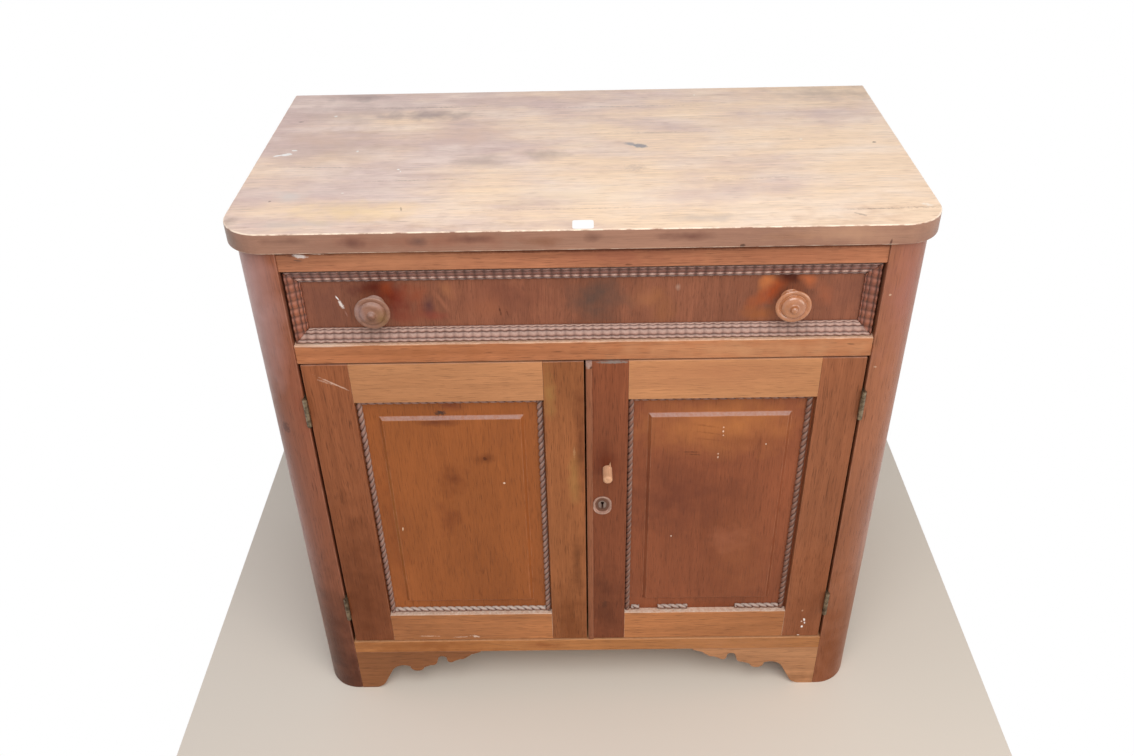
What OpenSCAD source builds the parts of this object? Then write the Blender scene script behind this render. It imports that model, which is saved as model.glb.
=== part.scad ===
// Walnut washstand: one drawer over a pair of panelled doors, on four feet that are
// the ends of the corner posts. The front posts are rounded on their outer corner.
// The front faces -Y, +Z is up and the origin lies on the floor, below the middle.

/* [Case] */
// Clear width between the front posts
opening_w = 658; // [580:1:740]
// Depth of the case, from the front of the rails to the back of the boards
case_d = 400; // [340:1:460]
// Height of the feet, from the floor to the bottom rail
foot_h = 77; // [75:1:95]
// Height of the bottom rail
bottom_rail_h = 22; // [20:1:36]
// Height of the door opening
door_opening_h = 477; // [400:1:560]
// Height of the middle rail
middle_rail_h = 25; // [20:1:40]
// Height of the drawer opening
drawer_opening_h = 96; // [84:1:130]
// Height of the top rail
top_rail_h = 26; // [22:1:40]
// Thickness of the top and bottom rails, front to back
rail_t = 20; // [16:1:26]
// Depth of the middle rail, which lies flat
middle_rail_d = 60; // [46:1:80]
// Height of the rails in the sides and the back
side_rail_h = 60; // [40:1:80]

/* [Posts] */
// Width and depth of a front post
post_w = 51; // [49:1:60]
// Radius of the rounded corner of a front post
post_corner_r = 46; // [20:1:48]
// How far the front posts, the bottom rail and the brackets stand proud of the other rails
post_proud = 2; // [0.5:0.5:3]
// Width and depth of a rear post
rear_post_w = 45; // [36:1:50]

/* [Top] */
// Thickness of the top board
top_t = 24; // [16:1:30]
// Overhang of the top at the front and sides
top_overhang = 8; // [5:1:20]
// Overhang of the top at the back
top_rear_overhang = 4; // [0:1:15]
// Radius of the front corners of the top
top_corner_r = 48; // [20:1:60]

/* [Sides and back] */
// Thickness of the side panels
side_panel_t = 9; // [6:1:12]
// Thickness of the side rails
side_rail_t = 20; // [18:1:26]
// How far the side panels lie behind the outside of the posts
side_recess = 6; // [4:1:7]
// Depth of the grooves that hold the side panels
side_groove_d = 7; // [4:1:10]
// Thickness of the back boards
back_board_t = 9; // [6:1:12]
// Number of back boards
back_board_n = 4; // [3:1:6]
// Thickness of the back rails
back_rail_t = 20; // [14:1:26]
// Gap between two back boards
back_board_gap = 1; // [0.5:0.5:3]

/* [Cabinet floor] */
// Thickness of the cabinet floor
floor_t = 10; // [9:1:14]
// Width and height of the cleats below the floor
cleat_w = 12; // [10:1:14]

/* [Foot brackets] */
// Length of a bracket along the bottom rail
bracket_len = 178; // [172:1:220]
// Thickness of a bracket
bracket_t = 18; // [12:1:20]
// Radius of the toe, where the bracket meets the floor
toe_r = 19; // [16:1:20]
// Radius of the cove behind the toe
cove_r = 19; // [16:1:20]
// Radius of the first hanging lobe
first_lobe_r = 10.5; // [8:0.5:11]
// Radius of the second hanging lobe
second_lobe_r = 5.5; // [4:0.5:6]
// Width of the glue blocks behind the brackets and below the top
block_w = 20; // [14:1:22]

/* [Drawer] */
// Gap between the drawer and the opening, at each side
drawer_side_gap = 2.5; // [1:0.5:4]
// Gap above the drawer front
drawer_top_gap = 2.5; // [1:0.5:4]
// Gap below the drawer front
drawer_bottom_gap = 1; // [0.5:0.5:2]
// Thickness of the drawer front behind its mouldings
drawer_front_t = 15; // [12:1:20]
// How far the drawer's field lies behind the face of the rails
field_recess = 12; // [10:1:14]
// Gap between the drawer and the rails of the back
drawer_rear_gap = 34; // [10:1:80]
// Thickness of the drawer sides
drawer_side_t = 10; // [8:1:14]
// Height of the drawer sides
drawer_side_h = 82; // [60:1:86]
// Thickness of the drawer bottom
drawer_bottom_t = 7; // [5:1:9]
// Height of the drawer bottom above the lower edge of the sides
drawer_bottom_lift = 8; // [7:1:12]
// Depth of the groove for the drawer bottom
drawer_groove_d = 5; // [3:0.5:6]
// Number of dovetails at the front end of a drawer side
dovetail_n = 3; // [2:1:4]
// Length of the dovetails, which stop short of the drawer's face
dovetail_len = 10; // [6:0.5:11]

/* [Ripple moulding] */
// Width of the moulding round the drawer front
ripple_w = 16; // [12:1:20]
// Number of ridges across the moulding
ripple_n = 4; // [3:1:5]
// Thickness of the moulding at its inner edge
ripple_thin = 2; // [1:0.5:3]
// How far the outer edge of the moulding lies behind the face of the rails
ripple_set_back = 2.5; // [0.5:0.5:4]

/* [Drawer knobs] */
// Diameter of a knob
knob_d = 40; // [34:1:42]
// Distance of each knob from the nearer end of the drawer
knob_inset = 94.5; // [60:0.5:180]
// Radius of the knob's foot
knob_foot_r = 11.5; // [10:0.5:13]
// Radius of the knob's neck
knob_neck_r = 7; // [6.5:0.5:9]
// Radius of the tenon that holds the knob in the drawer front
knob_tenon_r = 6; // [4:0.5:6]
// Height of the knob's rim above the drawer's field
knob_rim_h = 19; // [16:1:24]
// Height of the domed face in front of the rim
knob_dome_h = 12; // [9:1:14]

/* [Doors] */
// Gap between a door and its post, which the hinge leaves fill
door_hinge_gap = 3; // [3:0.5:4]
// Gap above the doors
door_top_gap = 2; // [1:0.5:4]
// Gap below the doors
door_bottom_gap = 1.5; // [1:0.5:3]
// Gap between the two doors
meeting_gap = 2; // [1.5:0.5:4]
// How far right of the middle the doors meet
meeting_x = 2; // [-10:1:10]
// Thickness of the doors
door_t = 20; // [18:1:24]
// Width of the left door's stile at its hinges
left_hinge_stile_w = 54.5; // [44:0.5:60]
// Width of the left door's stile where the doors meet
left_meeting_stile_w = 48; // [46:0.5:60]
// Width of the right door's stile where the doors meet
right_meeting_stile_w = 50; // [48:0.5:60]
// Width of the right door's stile at its hinges
right_hinge_stile_w = 51; // [44:0.5:60]
// Height of the doors' top rails
door_top_rail_h = 55; // [44:1:70]
// Height of the doors' bottom rails
door_bottom_rail_h = 51; // [44:1:70]
// Depth of the grooves that hold the door panels
door_groove_d = 8; // [5:1:10]
// Thickness of the edge of a door panel
panel_edge_t = 6; // [5:1:7]
// How far the edge of a panel lies behind the face of the door
panel_recess = 9; // [8:0.5:10]
// How far the raised field stands in front of the panel's edge
field_raise = 4; // [2:0.5:5]
// Width of the bevel round the raised field
field_bevel = 4; // [3:0.5:9]
// Distance of the raised field from the stiles
field_side_margin = 25; // [20:1:36]
// Distance of the raised field from the top rail
field_top_margin = 27; // [14:1:36]
// Distance of the raised field from the bottom rail
field_bottom_margin = 20; // [14:1:36]
// Radius of the rope moulding round the panels
rope_r = 3.7; // [3:0.1:4.4]
// How far the middle of the rope lies in front of the panel
rope_rise = 0.9; // [0.2:0.1:3]
// Gap that has opened between the left door's right-hand rope and its stile
left_rope_gap = 1.5; // [0:0.5:4]
// Gap that has opened between the right door's right-hand rope and its stile
right_rope_gap = 2.5; // [0:0.5:4]
// Width of the bead on the edge of the right door
bead_w = 7.5; // [6:0.5:9]
// How far the bead stands proud of the door
bead_proud = 2.5; // [1.5:0.5:3]

/* [Hinges] */
// Height of a hinge
hinge_h = 39.5; // [34:0.5:50]
// Distance of an upper hinge's middle from the top of the door
upper_hinge_inset = 65; // [40:1:90]
// Distance of a lower hinge's middle from the foot of the door
lower_hinge_inset = 70; // [40:1:90]
// Depth of a hinge leaf
leaf_d = 14; // [12:0.5:17]
// Thickness of a hinge leaf
leaf_t = 1.2; // [0.8:0.1:1.3]
// Radius of the hinge barrel
barrel_r = 2.9; // [2.6:0.1:3]
// Radius of the hinge pin
pin_r = 1.3; // [1:0.1:1.5]
// Clearance of the pin in its barrel
pin_clearance = 0.05; // [0.02:0.01:0.1]
// Distance of the hinge axis in front of the doors
hinge_forward = 4.8; // [4.8:0.1:5.5]
// Radius of a hinge screw
screw_r = 1.2; // [1:0.1:1.3]
// Length of a hinge screw
screw_len = 14; // [10:1:18]

/* [Lock and bolt] */
// Height of the keyhole above the floor
keyhole_z = 352; // [300:1:420]
// Gap between the right door's bead and the escutcheon
escutcheon_gap = 0.5; // [0.3:0.1:2]
// Radius of the rounded ends of the escutcheon
escutcheon_r = 11.5; // [10:0.5:12.5]
// Height of the straight part between the escutcheon's ends
escutcheon_straight = 7; // [4:1:10]
// Width of the lock case
lock_case_w = 42; // [38:1:46]
// Height of the lock case
lock_case_h = 50; // [44:1:60]
// Depth of the lock case
lock_case_d = 11; // [10:1:14]
// Radius of the bolt on the back of the left door
bolt_r = 4; // [3:0.5:4.5]
// Length of that bolt
bolt_len = 62; // [56:1:80]
// Travel of that bolt
bolt_travel = 12; // [8:1:14]
// Height of the wooden peg above the floor
peg_z = 412; // [390:1:450]
// Radius of the wooden peg
peg_r = 6; // [4.5:0.5:6.5]
// How far the peg stands out of the door
peg_proud = 22; // [15:1:26]

/* [Hidden] */
$fn = 48;
far = 1000;
fit_clearance = 0.1;
running_clearance = 0.3;

// Heights, from the floor up
floor_top_z = foot_h + bottom_rail_h;
door_head_z = floor_top_z + door_opening_h;
drawer_sill_z = door_head_z + middle_rail_h;
drawer_head_z = drawer_sill_z + drawer_opening_h;
case_h = drawer_head_z + top_rail_h;

// Widths, from the middle out
opening_half = opening_w / 2;
case_half = opening_half + post_w;
rear_post_x = case_half - rear_post_w;
side_rail_x = case_half - side_rail_t;
side_panel_x = case_half - side_recess - side_panel_t;

// Depths, back from the face of the rails
post_back_d = post_w - post_proud;
rear_post_d = case_d - rear_post_w;
back_rail_d = case_d - back_board_t - back_rail_t;
knob_proud = knob_rim_h + knob_dome_h - field_recess;
front_reach = max(knob_proud, peg_proud);
face_y = (front_reach - case_d - top_rear_overhang) / 2;

// Doors
left_door_x0 = -opening_half + door_hinge_gap;
left_door_x1 = meeting_x - meeting_gap / 2;
right_door_x0 = meeting_x + meeting_gap / 2;
right_door_x1 = opening_half - door_hinge_gap;
door_z0 = floor_top_z + door_bottom_gap;
door_z1 = door_head_z - door_top_gap;
panel_z0 = door_z0 + door_bottom_rail_h;
panel_z1 = door_z1 - door_top_rail_h;
hinge_x = opening_half - door_hinge_gap / 2;
hinge_zs = [door_z0 + lower_hinge_inset, door_z1 - upper_hinge_inset];
knuckle_n = 5;
knuckle_gap = 0.3;
knuckle_h = (hinge_h - (knuckle_n - 1) * knuckle_gap) / knuckle_n;
leaf_front_d = barrel_r - hinge_forward + knuckle_gap + 0.1;
pin_button = 0.8;
screw_head_r = 2.2;
screw_head_h = leaf_t - 0.2;
screw_rise = hinge_h / 2 - 7;

// Drawer
drawer_half = opening_half - drawer_side_gap;
knob_x = drawer_half - knob_inset;
drawer_z0 = drawer_sill_z + drawer_bottom_gap;
drawer_z1 = drawer_head_z - drawer_top_gap;
drawer_side_z0 = drawer_sill_z + running_clearance;
drawer_side_d = field_recess + drawer_front_t;
drawer_side_len = back_rail_d - drawer_rear_gap - drawer_side_d;
dovetail_pitch = drawer_side_h / dovetail_n;
dovetail_neck = dovetail_pitch * 0.5;
dovetail_wide = dovetail_pitch * 0.7;
stop_w = 40;
stop_len = 20;
drawer_bottom_z = drawer_side_z0 + drawer_bottom_lift;
knob_z = (drawer_z0 + drawer_z1) / 2;
runner_w = 30;
runner_h = 20;
guide_rise = 30;

// Lock, bolt and peg
keyhole_x = right_door_x0 + bead_w + escutcheon_gap + escutcheon_r;
key_r = 2.2;
key_slot_w = 2.4;
key_slot_h = 10;
lock_wall = 1.5;
lock_bar_h = 10;
lock_bar_t = 5;
lock_bar_len = 28;
lock_case_x = right_door_x0 + 2;
bolt_x = left_door_x1 - left_meeting_stile_w / 2;
bolt_plate_t = 1.5;
bolt_guide_r = bolt_r + 2;
bolt_d = door_t + bolt_plate_t + bolt_r + 0.5;
bolt_z1 = door_z1 - 1;
mortise_half = bolt_r + 0.5;
mortise_depth = bolt_travel + 4;
peg_x = keyhole_x + 6;
peg_hole_depth = 14;

module at_face() {
    translate([0, face_y, 0]) children();
}

// A square-edged piece given by its two opposite corners
module block(low, high) {
    translate(low) cube(high - low);
}

module other_side() {
    mirror([1, 0, 0]) children();
}

function arc(cx, cz, r, from, to, steps = 8) =
    [for (i = [0:steps]) let (a = from + (to - from) * i / steps) [cx + r * cos(a), cz + r * sin(a)]];

// Top
module top_outline() {
    half = case_half + top_overhang;
    depth = case_d + top_rear_overhang + top_overhang;
    translate([-half, top_corner_r]) square([2 * half, depth - top_corner_r]);
    translate([-half + top_corner_r, 0]) square([2 * (half - top_corner_r), depth]);
    for (side = [-1, 1]) translate([side * (half - top_corner_r), top_corner_r]) circle(r = top_corner_r);
}

module top_board() {
    color("#a5744a") at_face() translate([0, -top_overhang, case_h])
        linear_extrude(top_t) top_outline();
}

// Posts
module front_post_outline() {
    translate([0, post_corner_r]) square([post_w, post_w - post_corner_r]);
    square([post_w - post_corner_r, post_w]);
    translate([post_w - post_corner_r, post_corner_r]) intersection() {
        circle(r = post_corner_r);
        translate([0, -post_corner_r]) square([post_corner_r, post_corner_r]);
    }
}

module front_post() {
    difference() {
        translate([opening_half, -post_proud, 0]) linear_extrude(case_h) front_post_outline();
        side_panel_blank(fit_clearance);
        pilot_holes(opening_half - 1, 1);
    }
}

module rear_post() {
    difference() {
        block([rear_post_x, rear_post_d, 0], [case_half, case_d, case_h]);
        side_panel_blank(fit_clearance);
    }
}

module left_front_post() {
    color("#6b3a24") at_face() other_side() front_post();
}

module right_front_post() {
    color("#6b3a24") at_face() front_post();
}

module left_rear_post() {
    color("#6b3a24") at_face() other_side() rear_post();
}

module right_rear_post() {
    color("#6b3a24") at_face() rear_post();
}

// Sides
module side_panel_blank(grow) {
    edge = side_groove_d + grow;
    block([side_panel_x - grow, post_back_d - edge, foot_h + side_rail_h - edge],
        [side_panel_x + side_panel_t + grow, rear_post_d + edge, case_h - side_rail_h + edge]);
}

module side_rails() {
    for (z = [foot_h, case_h - side_rail_h]) difference() {
        block([side_rail_x, post_back_d, z], [case_half, rear_post_d, z + side_rail_h]);
        side_panel_blank(fit_clearance);
    }
}

module left_side_panel() {
    color("#74402a") at_face() other_side() side_panel_blank(0);
}

module right_side_panel() {
    color("#74402a") at_face() side_panel_blank(0);
}

module left_side_rails() {
    color("#8a4c2c") at_face() other_side() side_rails();
}

module right_side_rails() {
    color("#8a4c2c") at_face() side_rails();
}

// Front rails
module top_rail() {
    color("#9c5930") at_face() block([-opening_half, 0, drawer_head_z], [opening_half, rail_t, case_h]);
}

module middle_rail() {
    color("#9c5930") at_face() difference() {
        block([-opening_half, 0, door_head_z], [opening_half, middle_rail_d, drawer_sill_z]);
        block([bolt_x - mortise_half, bolt_d - mortise_half, door_head_z - 1],
            [bolt_x + mortise_half, bolt_d + mortise_half, door_head_z + mortise_depth]);
    }
}

module bottom_rail() {
    color("#9c5930") at_face() block([-opening_half, -post_proud, foot_h],
        [opening_half, rail_t, floor_top_z]);
}

// Curves of a foot bracket from the post inwards: the middle's distance from the post, its depth
// below the rail, the radius, and the angles where the curve starts and ends
bracket_curves = [
    [65, 48, cove_r, 150, 70],
    [84.5, 31, first_lobe_r, 180, 345],
    [106, 21, 8.5, 262, 360],
    [122.5, 16.5, 6.5, 180, 25],
    [134, 18, second_lobe_r, 190, 325],
    [149, 8, 9, 260, 310],
    [168, 13, 7, 150, 95]];
toe_x = 18;
bracket_tip = 2;

function bracket_outline() = concat(
    [[0, 0]],
    arc(toe_x, toe_r, toe_r, -90, -30),
    [for (c = bracket_curves) each arc(c[0], foot_h - c[1], c[2], c[3], c[4])],
    [[bracket_len, foot_h - bracket_tip], [bracket_len, foot_h], [0, foot_h]]);

module foot_bracket() {
    translate([-opening_half, bracket_t, 0]) rotate([90, 0, 0])
        linear_extrude(bracket_t + post_proud) polygon(bracket_outline());
}

module left_foot_bracket() {
    color("#9c5930") at_face() foot_bracket();
}

module right_foot_bracket() {
    color("#9c5930") at_face() other_side() foot_bracket();
}

// Blocks glued in the corners behind the brackets and below the top
module glue_blocks() {
    lift = 22;
    color("#b58a5c") at_face() for (side = [0, 1]) mirror([side, 0, 0]) {
        block([-opening_half, bracket_t, lift], [-opening_half + block_w, bracket_t + block_w, foot_h]);
        for (d = [case_d * 0.3, case_d * 0.65])
            block([side_rail_x - block_w, d, case_h - block_w], [side_rail_x, d + 3 * block_w, case_h]);
    }
}

// Back
module back_rails() {
    color("#a9825a") at_face() for (z = [foot_h, case_h - side_rail_h])
        block([-rear_post_x, back_rail_d, z], [rear_post_x, back_rail_d + back_rail_t, z + side_rail_h]);
}

module back_boards() {
    board_w = (2 * rear_post_x - (back_board_n - 1) * back_board_gap) / back_board_n;
    color("#9a7650") at_face() for (i = [0:back_board_n - 1])
        translate([-rear_post_x + i * (board_w + back_board_gap), case_d - back_board_t, foot_h])
            cube([board_w, back_board_t, case_h - foot_h]);
}

// Floor of the cabinet, notched round the posts, on cleats fixed to the side rails
module cabinet_floor() {
    color("#a9825a") at_face() difference() {
        block([-side_rail_x, rail_t, floor_top_z - floor_t], [side_rail_x, back_rail_d, floor_top_z]);
        for (side = [0, 1]) mirror([side, 0, 0]) {
            block([opening_half, 0, 0], [far, post_back_d, far]);
            block([rear_post_x, rear_post_d, 0], [far, case_d, far]);
        }
    }
}

module floor_cleats() {
    cleat_z = floor_top_z - floor_t - cleat_w;
    color("#b58a5c") at_face() for (side = [0, 1]) mirror([side, 0, 0])
        block([side_rail_x - cleat_w, post_back_d, cleat_z], [side_rail_x, rear_post_d, cleat_z + cleat_w]);
}

// What carries and steers the drawer
module drawer_runners() {
    color("#b58a5c") at_face() for (side = [0, 1]) mirror([side, 0, 0])
        block([opening_half - runner_w, middle_rail_d, drawer_sill_z - runner_h],
            [opening_half, rear_post_d, drawer_sill_z]);
}

module drawer_guides() {
    color("#b58a5c") at_face() for (side = [0, 1]) mirror([side, 0, 0])
        block([opening_half, post_back_d, drawer_sill_z - runner_h],
            [side_panel_x, rear_post_d, drawer_sill_z + guide_rise]);
}

module drawer_kickers() {
    color("#b58a5c") at_face() for (side = [0, 1]) mirror([side, 0, 0])
        block([opening_half - runner_w, rail_t, drawer_head_z],
            [opening_half, back_rail_d, case_h - running_clearance]);
}

module drawer_stops() {
    stop_h = drawer_bottom_lift - 2;
    stop_x = opening_w / 4;
    color("#b58a5c") at_face() for (side = [0, 1]) mirror([side, 0, 0])
        block([stop_x, drawer_side_d + running_clearance, drawer_sill_z],
            [stop_x + stop_w, drawer_side_d + stop_len, drawer_sill_z + stop_h]);
}

// Hinges. Every hinge is drawn on the right side of the case, round its own axis
module knuckles(first) {
    for (i = [first:2:knuckle_n - 1]) translate([0, 0, i * (knuckle_h + knuckle_gap)]) children();
}

module barrel_piece() {
    difference() {
        cylinder(h = knuckle_h, r = barrel_r);
        translate([0, 0, -1]) cylinder(h = knuckle_h + 2, r = pin_r + pin_clearance);
    }
}

module leaf(first, outer_x, inward) {
    x0 = inward > 0 ? outer_x : outer_x - leaf_t;
    difference() {
        union() {
            block([x0, hinge_forward + leaf_front_d, 0], [x0 + leaf_t, hinge_forward + leaf_d, hinge_h]);
            knuckles(first) difference() {
                block([x0, 0, 0], [x0 + leaf_t, hinge_forward + leaf_front_d + 1, knuckle_h]);
                translate([0, 0, -1]) cylinder(h = knuckle_h + 2, r = pin_r + pin_clearance);
            }
            knuckles(first) barrel_piece();
        }
        for (z = [-screw_rise, screw_rise])
            translate([outer_x, hinge_forward + leaf_d * 0.6, hinge_h / 2 + z])
                rotate([0, inward * 90, 0]) screw_shape(fit_clearance);
    }
}

// A countersunk screw, its flat head's underside pointing along -Z, drawn from the wood's surface
module screw_shape(grow) {
    translate([0, 0, -screw_len]) cylinder(h = screw_len + screw_head_h, r = screw_r + grow / 2);
    cylinder(h = screw_head_h, r1 = screw_r + grow, r2 = screw_head_r + grow);
    if (grow > 0) translate([0, 0, screw_head_h]) cylinder(h = leaf_t, r = screw_head_r + grow);
}

module at_hinges() {
    for (z = hinge_zs) translate([hinge_x, -hinge_forward, z - hinge_h / 2]) children();
}

module case_leaves() {
    at_hinges() leaf(0, door_hinge_gap / 2, -1);
}

module door_leaves() {
    at_hinges() leaf(1, -door_hinge_gap / 2, 1);
}

module pilot_holes(x, outward) {
    for (z = hinge_zs, rise = [-screw_rise, screw_rise])
        translate([x, leaf_d * 0.6, z + rise]) rotate([0, outward * 90, 0])
            cylinder(h = screw_len + 2, r = screw_r + fit_clearance / 2);
}

module hinge_screws(on_door) {
    surface = on_door ? -door_hinge_gap / 2 : door_hinge_gap / 2;
    at_hinges() for (z = [-screw_rise, screw_rise])
        translate([surface, hinge_forward + leaf_d * 0.6, hinge_h / 2 + z])
            rotate([0, on_door ? 90 : -90, 0]) screw_shape(0);
}

module left_case_leaves() {
    color("#8d7440") at_face() other_side() case_leaves();
}

module right_case_leaves() {
    color("#8d7440") at_face() case_leaves();
}

module hinge_pins() {
    color("#7c6a45") at_face() for (side = [0, 1]) mirror([side, 0, 0]) at_hinges() {
        cylinder(h = hinge_h, r = pin_r);
        for (z = [-pin_button, hinge_h]) translate([0, 0, z]) cylinder(h = pin_button, r = barrel_r - 0.6);
    }
}

module case_hinge_screws() {
    color("#8d7440") at_face() for (side = [0, 1]) mirror([side, 0, 0]) hinge_screws(false);
}

module left_door_leaves() {
    color("#8d7440") at_face() other_side() door_leaves();
}

module right_door_leaves() {
    color("#8d7440") at_face() door_leaves();
}

module left_door_screws() {
    color("#8d7440") at_face() other_side() hinge_screws(true);
}

module right_door_screws() {
    color("#8d7440") at_face() hinge_screws(true);
}

// Drawer
module drawer_bottom_blank(grow) {
    block([-drawer_half + drawer_side_t - drawer_groove_d - grow, drawer_side_d - drawer_groove_d - grow,
            drawer_bottom_z - grow],
        [drawer_half - drawer_side_t + drawer_groove_d + grow, drawer_side_d + drawer_side_len,
            drawer_bottom_z + drawer_bottom_t + grow]);
}

module drawer_front() {
    color("#7d4527") at_face() difference() {
        block([-drawer_half, field_recess, drawer_z0], [drawer_half, drawer_side_d, drawer_z1]);
        drawer_bottom_blank(fit_clearance);
        for (side = [0, 1]) mirror([side, 0, 0]) dovetails(fit_clearance);
        for (x = [-knob_x, knob_x]) translate([x, drawer_side_d + 1, knob_z]) rotate([90, 0, 0])
            cylinder(h = drawer_front_t + 2, r = knob_tenon_r + pin_clearance);
    }
}

// Tails of a drawer side, in sockets in the back of the drawer front
module dovetails(grow) {
    neck = dovetail_neck / 2 + grow;
    wide = dovetail_wide / 2 + grow;
    tip = -dovetail_len - grow;
    for (i = [0:dovetail_n - 1])
        translate([drawer_half - drawer_side_t - grow, drawer_side_d,
            drawer_side_z0 + (i + 0.5) * dovetail_pitch])
            rotate([90, 0, 90]) linear_extrude(drawer_side_t + 2 * grow)
                polygon([[1, -neck], [1, neck], [0, neck], [tip, wide], [tip, -wide], [0, -neck]]);
}

module drawer_side() {
    difference() {
        union() {
            block([drawer_half - drawer_side_t, drawer_side_d, drawer_side_z0],
                [drawer_half, drawer_side_d + drawer_side_len, drawer_side_z0 + drawer_side_h]);
            dovetails(0);
        }
        drawer_bottom_blank(fit_clearance);
    }
}

module drawer_left_side() {
    color("#b58a5c") at_face() other_side() drawer_side();
}

module drawer_right_side() {
    color("#b58a5c") at_face() drawer_side();
}

module drawer_back() {
    back_d = drawer_side_d + drawer_side_len;
    low_z = drawer_bottom_z + drawer_bottom_t + fit_clearance;
    color("#b58a5c") at_face()
        block([-drawer_half + drawer_side_t, back_d - drawer_side_t, low_z],
            [drawer_half - drawer_side_t, back_d, drawer_side_z0 + drawer_side_h]);
}

module drawer_bottom() {
    color("#a9825a") at_face() drawer_bottom_blank(0);
}

// Section of the ripple moulding: X runs in from the outer edge, Y back from the face
module ripple_section() {
    pitch = ripple_w / ripple_n;
    fall = field_recess - ripple_thin - ripple_set_back;
    polygon([[0, ripple_set_back + 1], [0, field_recess], [ripple_w, field_recess],
        [ripple_w, field_recess - ripple_thin + 1]]);
    intersection() {
        square([ripple_w, field_recess]);
        for (i = [0:ripple_n - 1])
            translate([(i + 0.5) * pitch, ripple_set_back + (i + 0.5) * fall / ripple_n + pitch * 0.55])
                circle(r = pitch * 0.62);
    }
}

// A mitred strip along X, its outer edge on z = 0 and its width going up
module ripple_strip(length) {
    intersection() {
        rotate([0, 90, 0]) mirror([1, 0, 0]) linear_extrude(length) ripple_section();
        translate([0, field_recess + 1, 0]) rotate([90, 0, 0]) linear_extrude(field_recess + 2)
            polygon([[0, 0], [length, 0], [length - ripple_w, ripple_w], [ripple_w, ripple_w]]);
    }
}

module drawer_bottom_moulding() {
    color("#7a5a4c") at_face() translate([-drawer_half, 0, drawer_z0]) ripple_strip(2 * drawer_half);
}

module drawer_top_moulding() {
    color("#7a5a4c") at_face() translate([-drawer_half, 0, drawer_z1]) mirror([0, 0, 1])
        ripple_strip(2 * drawer_half);
}

module drawer_end_mouldings() {
    color("#7a5a4c") at_face() for (side = [0, 1]) mirror([side, 0, 0])
        translate([drawer_half, 0, drawer_z0]) rotate([0, -90, 0]) ripple_strip(drawer_z1 - drawer_z0);
}

// Turned knob: foot, neck, flaring back, rim, stepped dome and a small nipple
function knob_profile() = concat(
    [[0, -drawer_front_t], [knob_tenon_r, -drawer_front_t], [knob_tenon_r, 0], [knob_foot_r, 0]],
    arc(knob_foot_r - 1.5, 2, 1.5, 0, 90, 4),
    [[knob_neck_r + 1, 4], [knob_neck_r, 6], [knob_neck_r, knob_rim_h * 0.5]],
    arc(knob_neck_r + 8, knob_rim_h * 0.5, 8, 180, 100, 5),
    arc(knob_d / 2 - 1.5, knob_rim_h, 1.5, -70, 80, 6),
    [[13, knob_rim_h + 3.5], [12.5, knob_rim_h + 4.5], [8, knob_rim_h + 6.2], [4, knob_rim_h + 7]],
    [[3, knob_rim_h + 8]],
    arc(0, knob_rim_h + knob_dome_h - 3, 3, 10, 90, 4));

module knob() {
    translate([knob_x, field_recess, knob_z]) rotate([90, 0, 0]) rotate_extrude() polygon(knob_profile());
}

module left_knob() {
    color("#9a6a50") at_face() other_side() knob();
}

module right_knob() {
    color("#b06f4c") at_face() knob();
}

// Doors. x0 and x1 are the inner edges of the stiles, where the panel shows
module door_panel_blank(x0, x1, grow) {
    edge = door_groove_d - 0.5 + grow;
    block([x0 - edge, panel_recess - grow, panel_z0 - edge],
        [x1 + edge, panel_recess + panel_edge_t + grow, panel_z1 + edge]);
}

module field_side_view(low, high) {
    polygon([[low, panel_recess], [high, panel_recess], [high - field_bevel, panel_recess - field_raise],
        [low + field_bevel, panel_recess - field_raise]]);
}

module door_panel(x0, x1) {
    door_panel_blank(x0, x1, 0);
    intersection() {
        linear_extrude(far) field_side_view(x0 + field_side_margin, x1 - field_side_margin);
        translate([-far, 0, 0]) rotate([0, 90, 0]) mirror([1, 0, 0]) linear_extrude(2 * far)
            field_side_view(panel_z0 + field_bottom_margin, panel_z1 - field_top_margin);
    }
}

module door_stile(x0, x1, panel_x0, panel_x1) {
    difference() {
        block([x0, 0, door_z0], [x1, door_t, door_z1]);
        door_panel_blank(panel_x0, panel_x1, fit_clearance);
    }
}

module door_rail(z0, z1, panel_x0, panel_x1) {
    difference() {
        block([panel_x0, 0, z0], [panel_x1, door_t, z1]);
        door_panel_blank(panel_x0, panel_x1, fit_clearance);
    }
}

// A length of the rope moulding along Z, in the corner between a frame edge at x = 0 and the panel
module rope_length(length) {
    intersection() {
        translate([rope_r, panel_recess - rope_rise, 0]) cylinder(h = length, r = rope_r);
        block([0, 0, 0], [2 * rope_r, panel_recess, length]);
    }
}

module rope_sides(x0, x1) {
    for (end = [[x0, 0], [x1, 1]]) translate([end[0], 0, panel_z0]) mirror([end[1], 0, 0])
        rope_length(panel_z1 - panel_z0);
}

// A level length between the side ropes, from one share of their distance to another
module rope_level(x0, x1, shares, z, up) {
    clear = x1 - x0 - 4 * rope_r;
    translate([x0 + 2 * rope_r + shares[0] * clear, 0, z]) mirror([0, 0, up ? 0 : 1])
        rotate([0, 90, 0]) mirror([1, 0, 0]) rope_length((shares[1] - shares[0]) * clear);
}

left_panel_x0 = left_door_x0 + left_hinge_stile_w;
left_panel_x1 = left_door_x1 - left_meeting_stile_w;
right_panel_x0 = right_door_x0 + right_meeting_stile_w;
right_panel_x1 = right_door_x1 - right_hinge_stile_w;

module left_door_hinge_stile() {
    color("#6f3c25") at_face() difference() {
        door_stile(left_door_x0, left_panel_x0, left_panel_x0, left_panel_x1);
        pilot_holes(left_door_x0 - 1, 1);
    }
}

module left_door_meeting_stile() {
    color("#7d4527") at_face() door_stile(left_panel_x1, left_door_x1, left_panel_x0, left_panel_x1);
}

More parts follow.
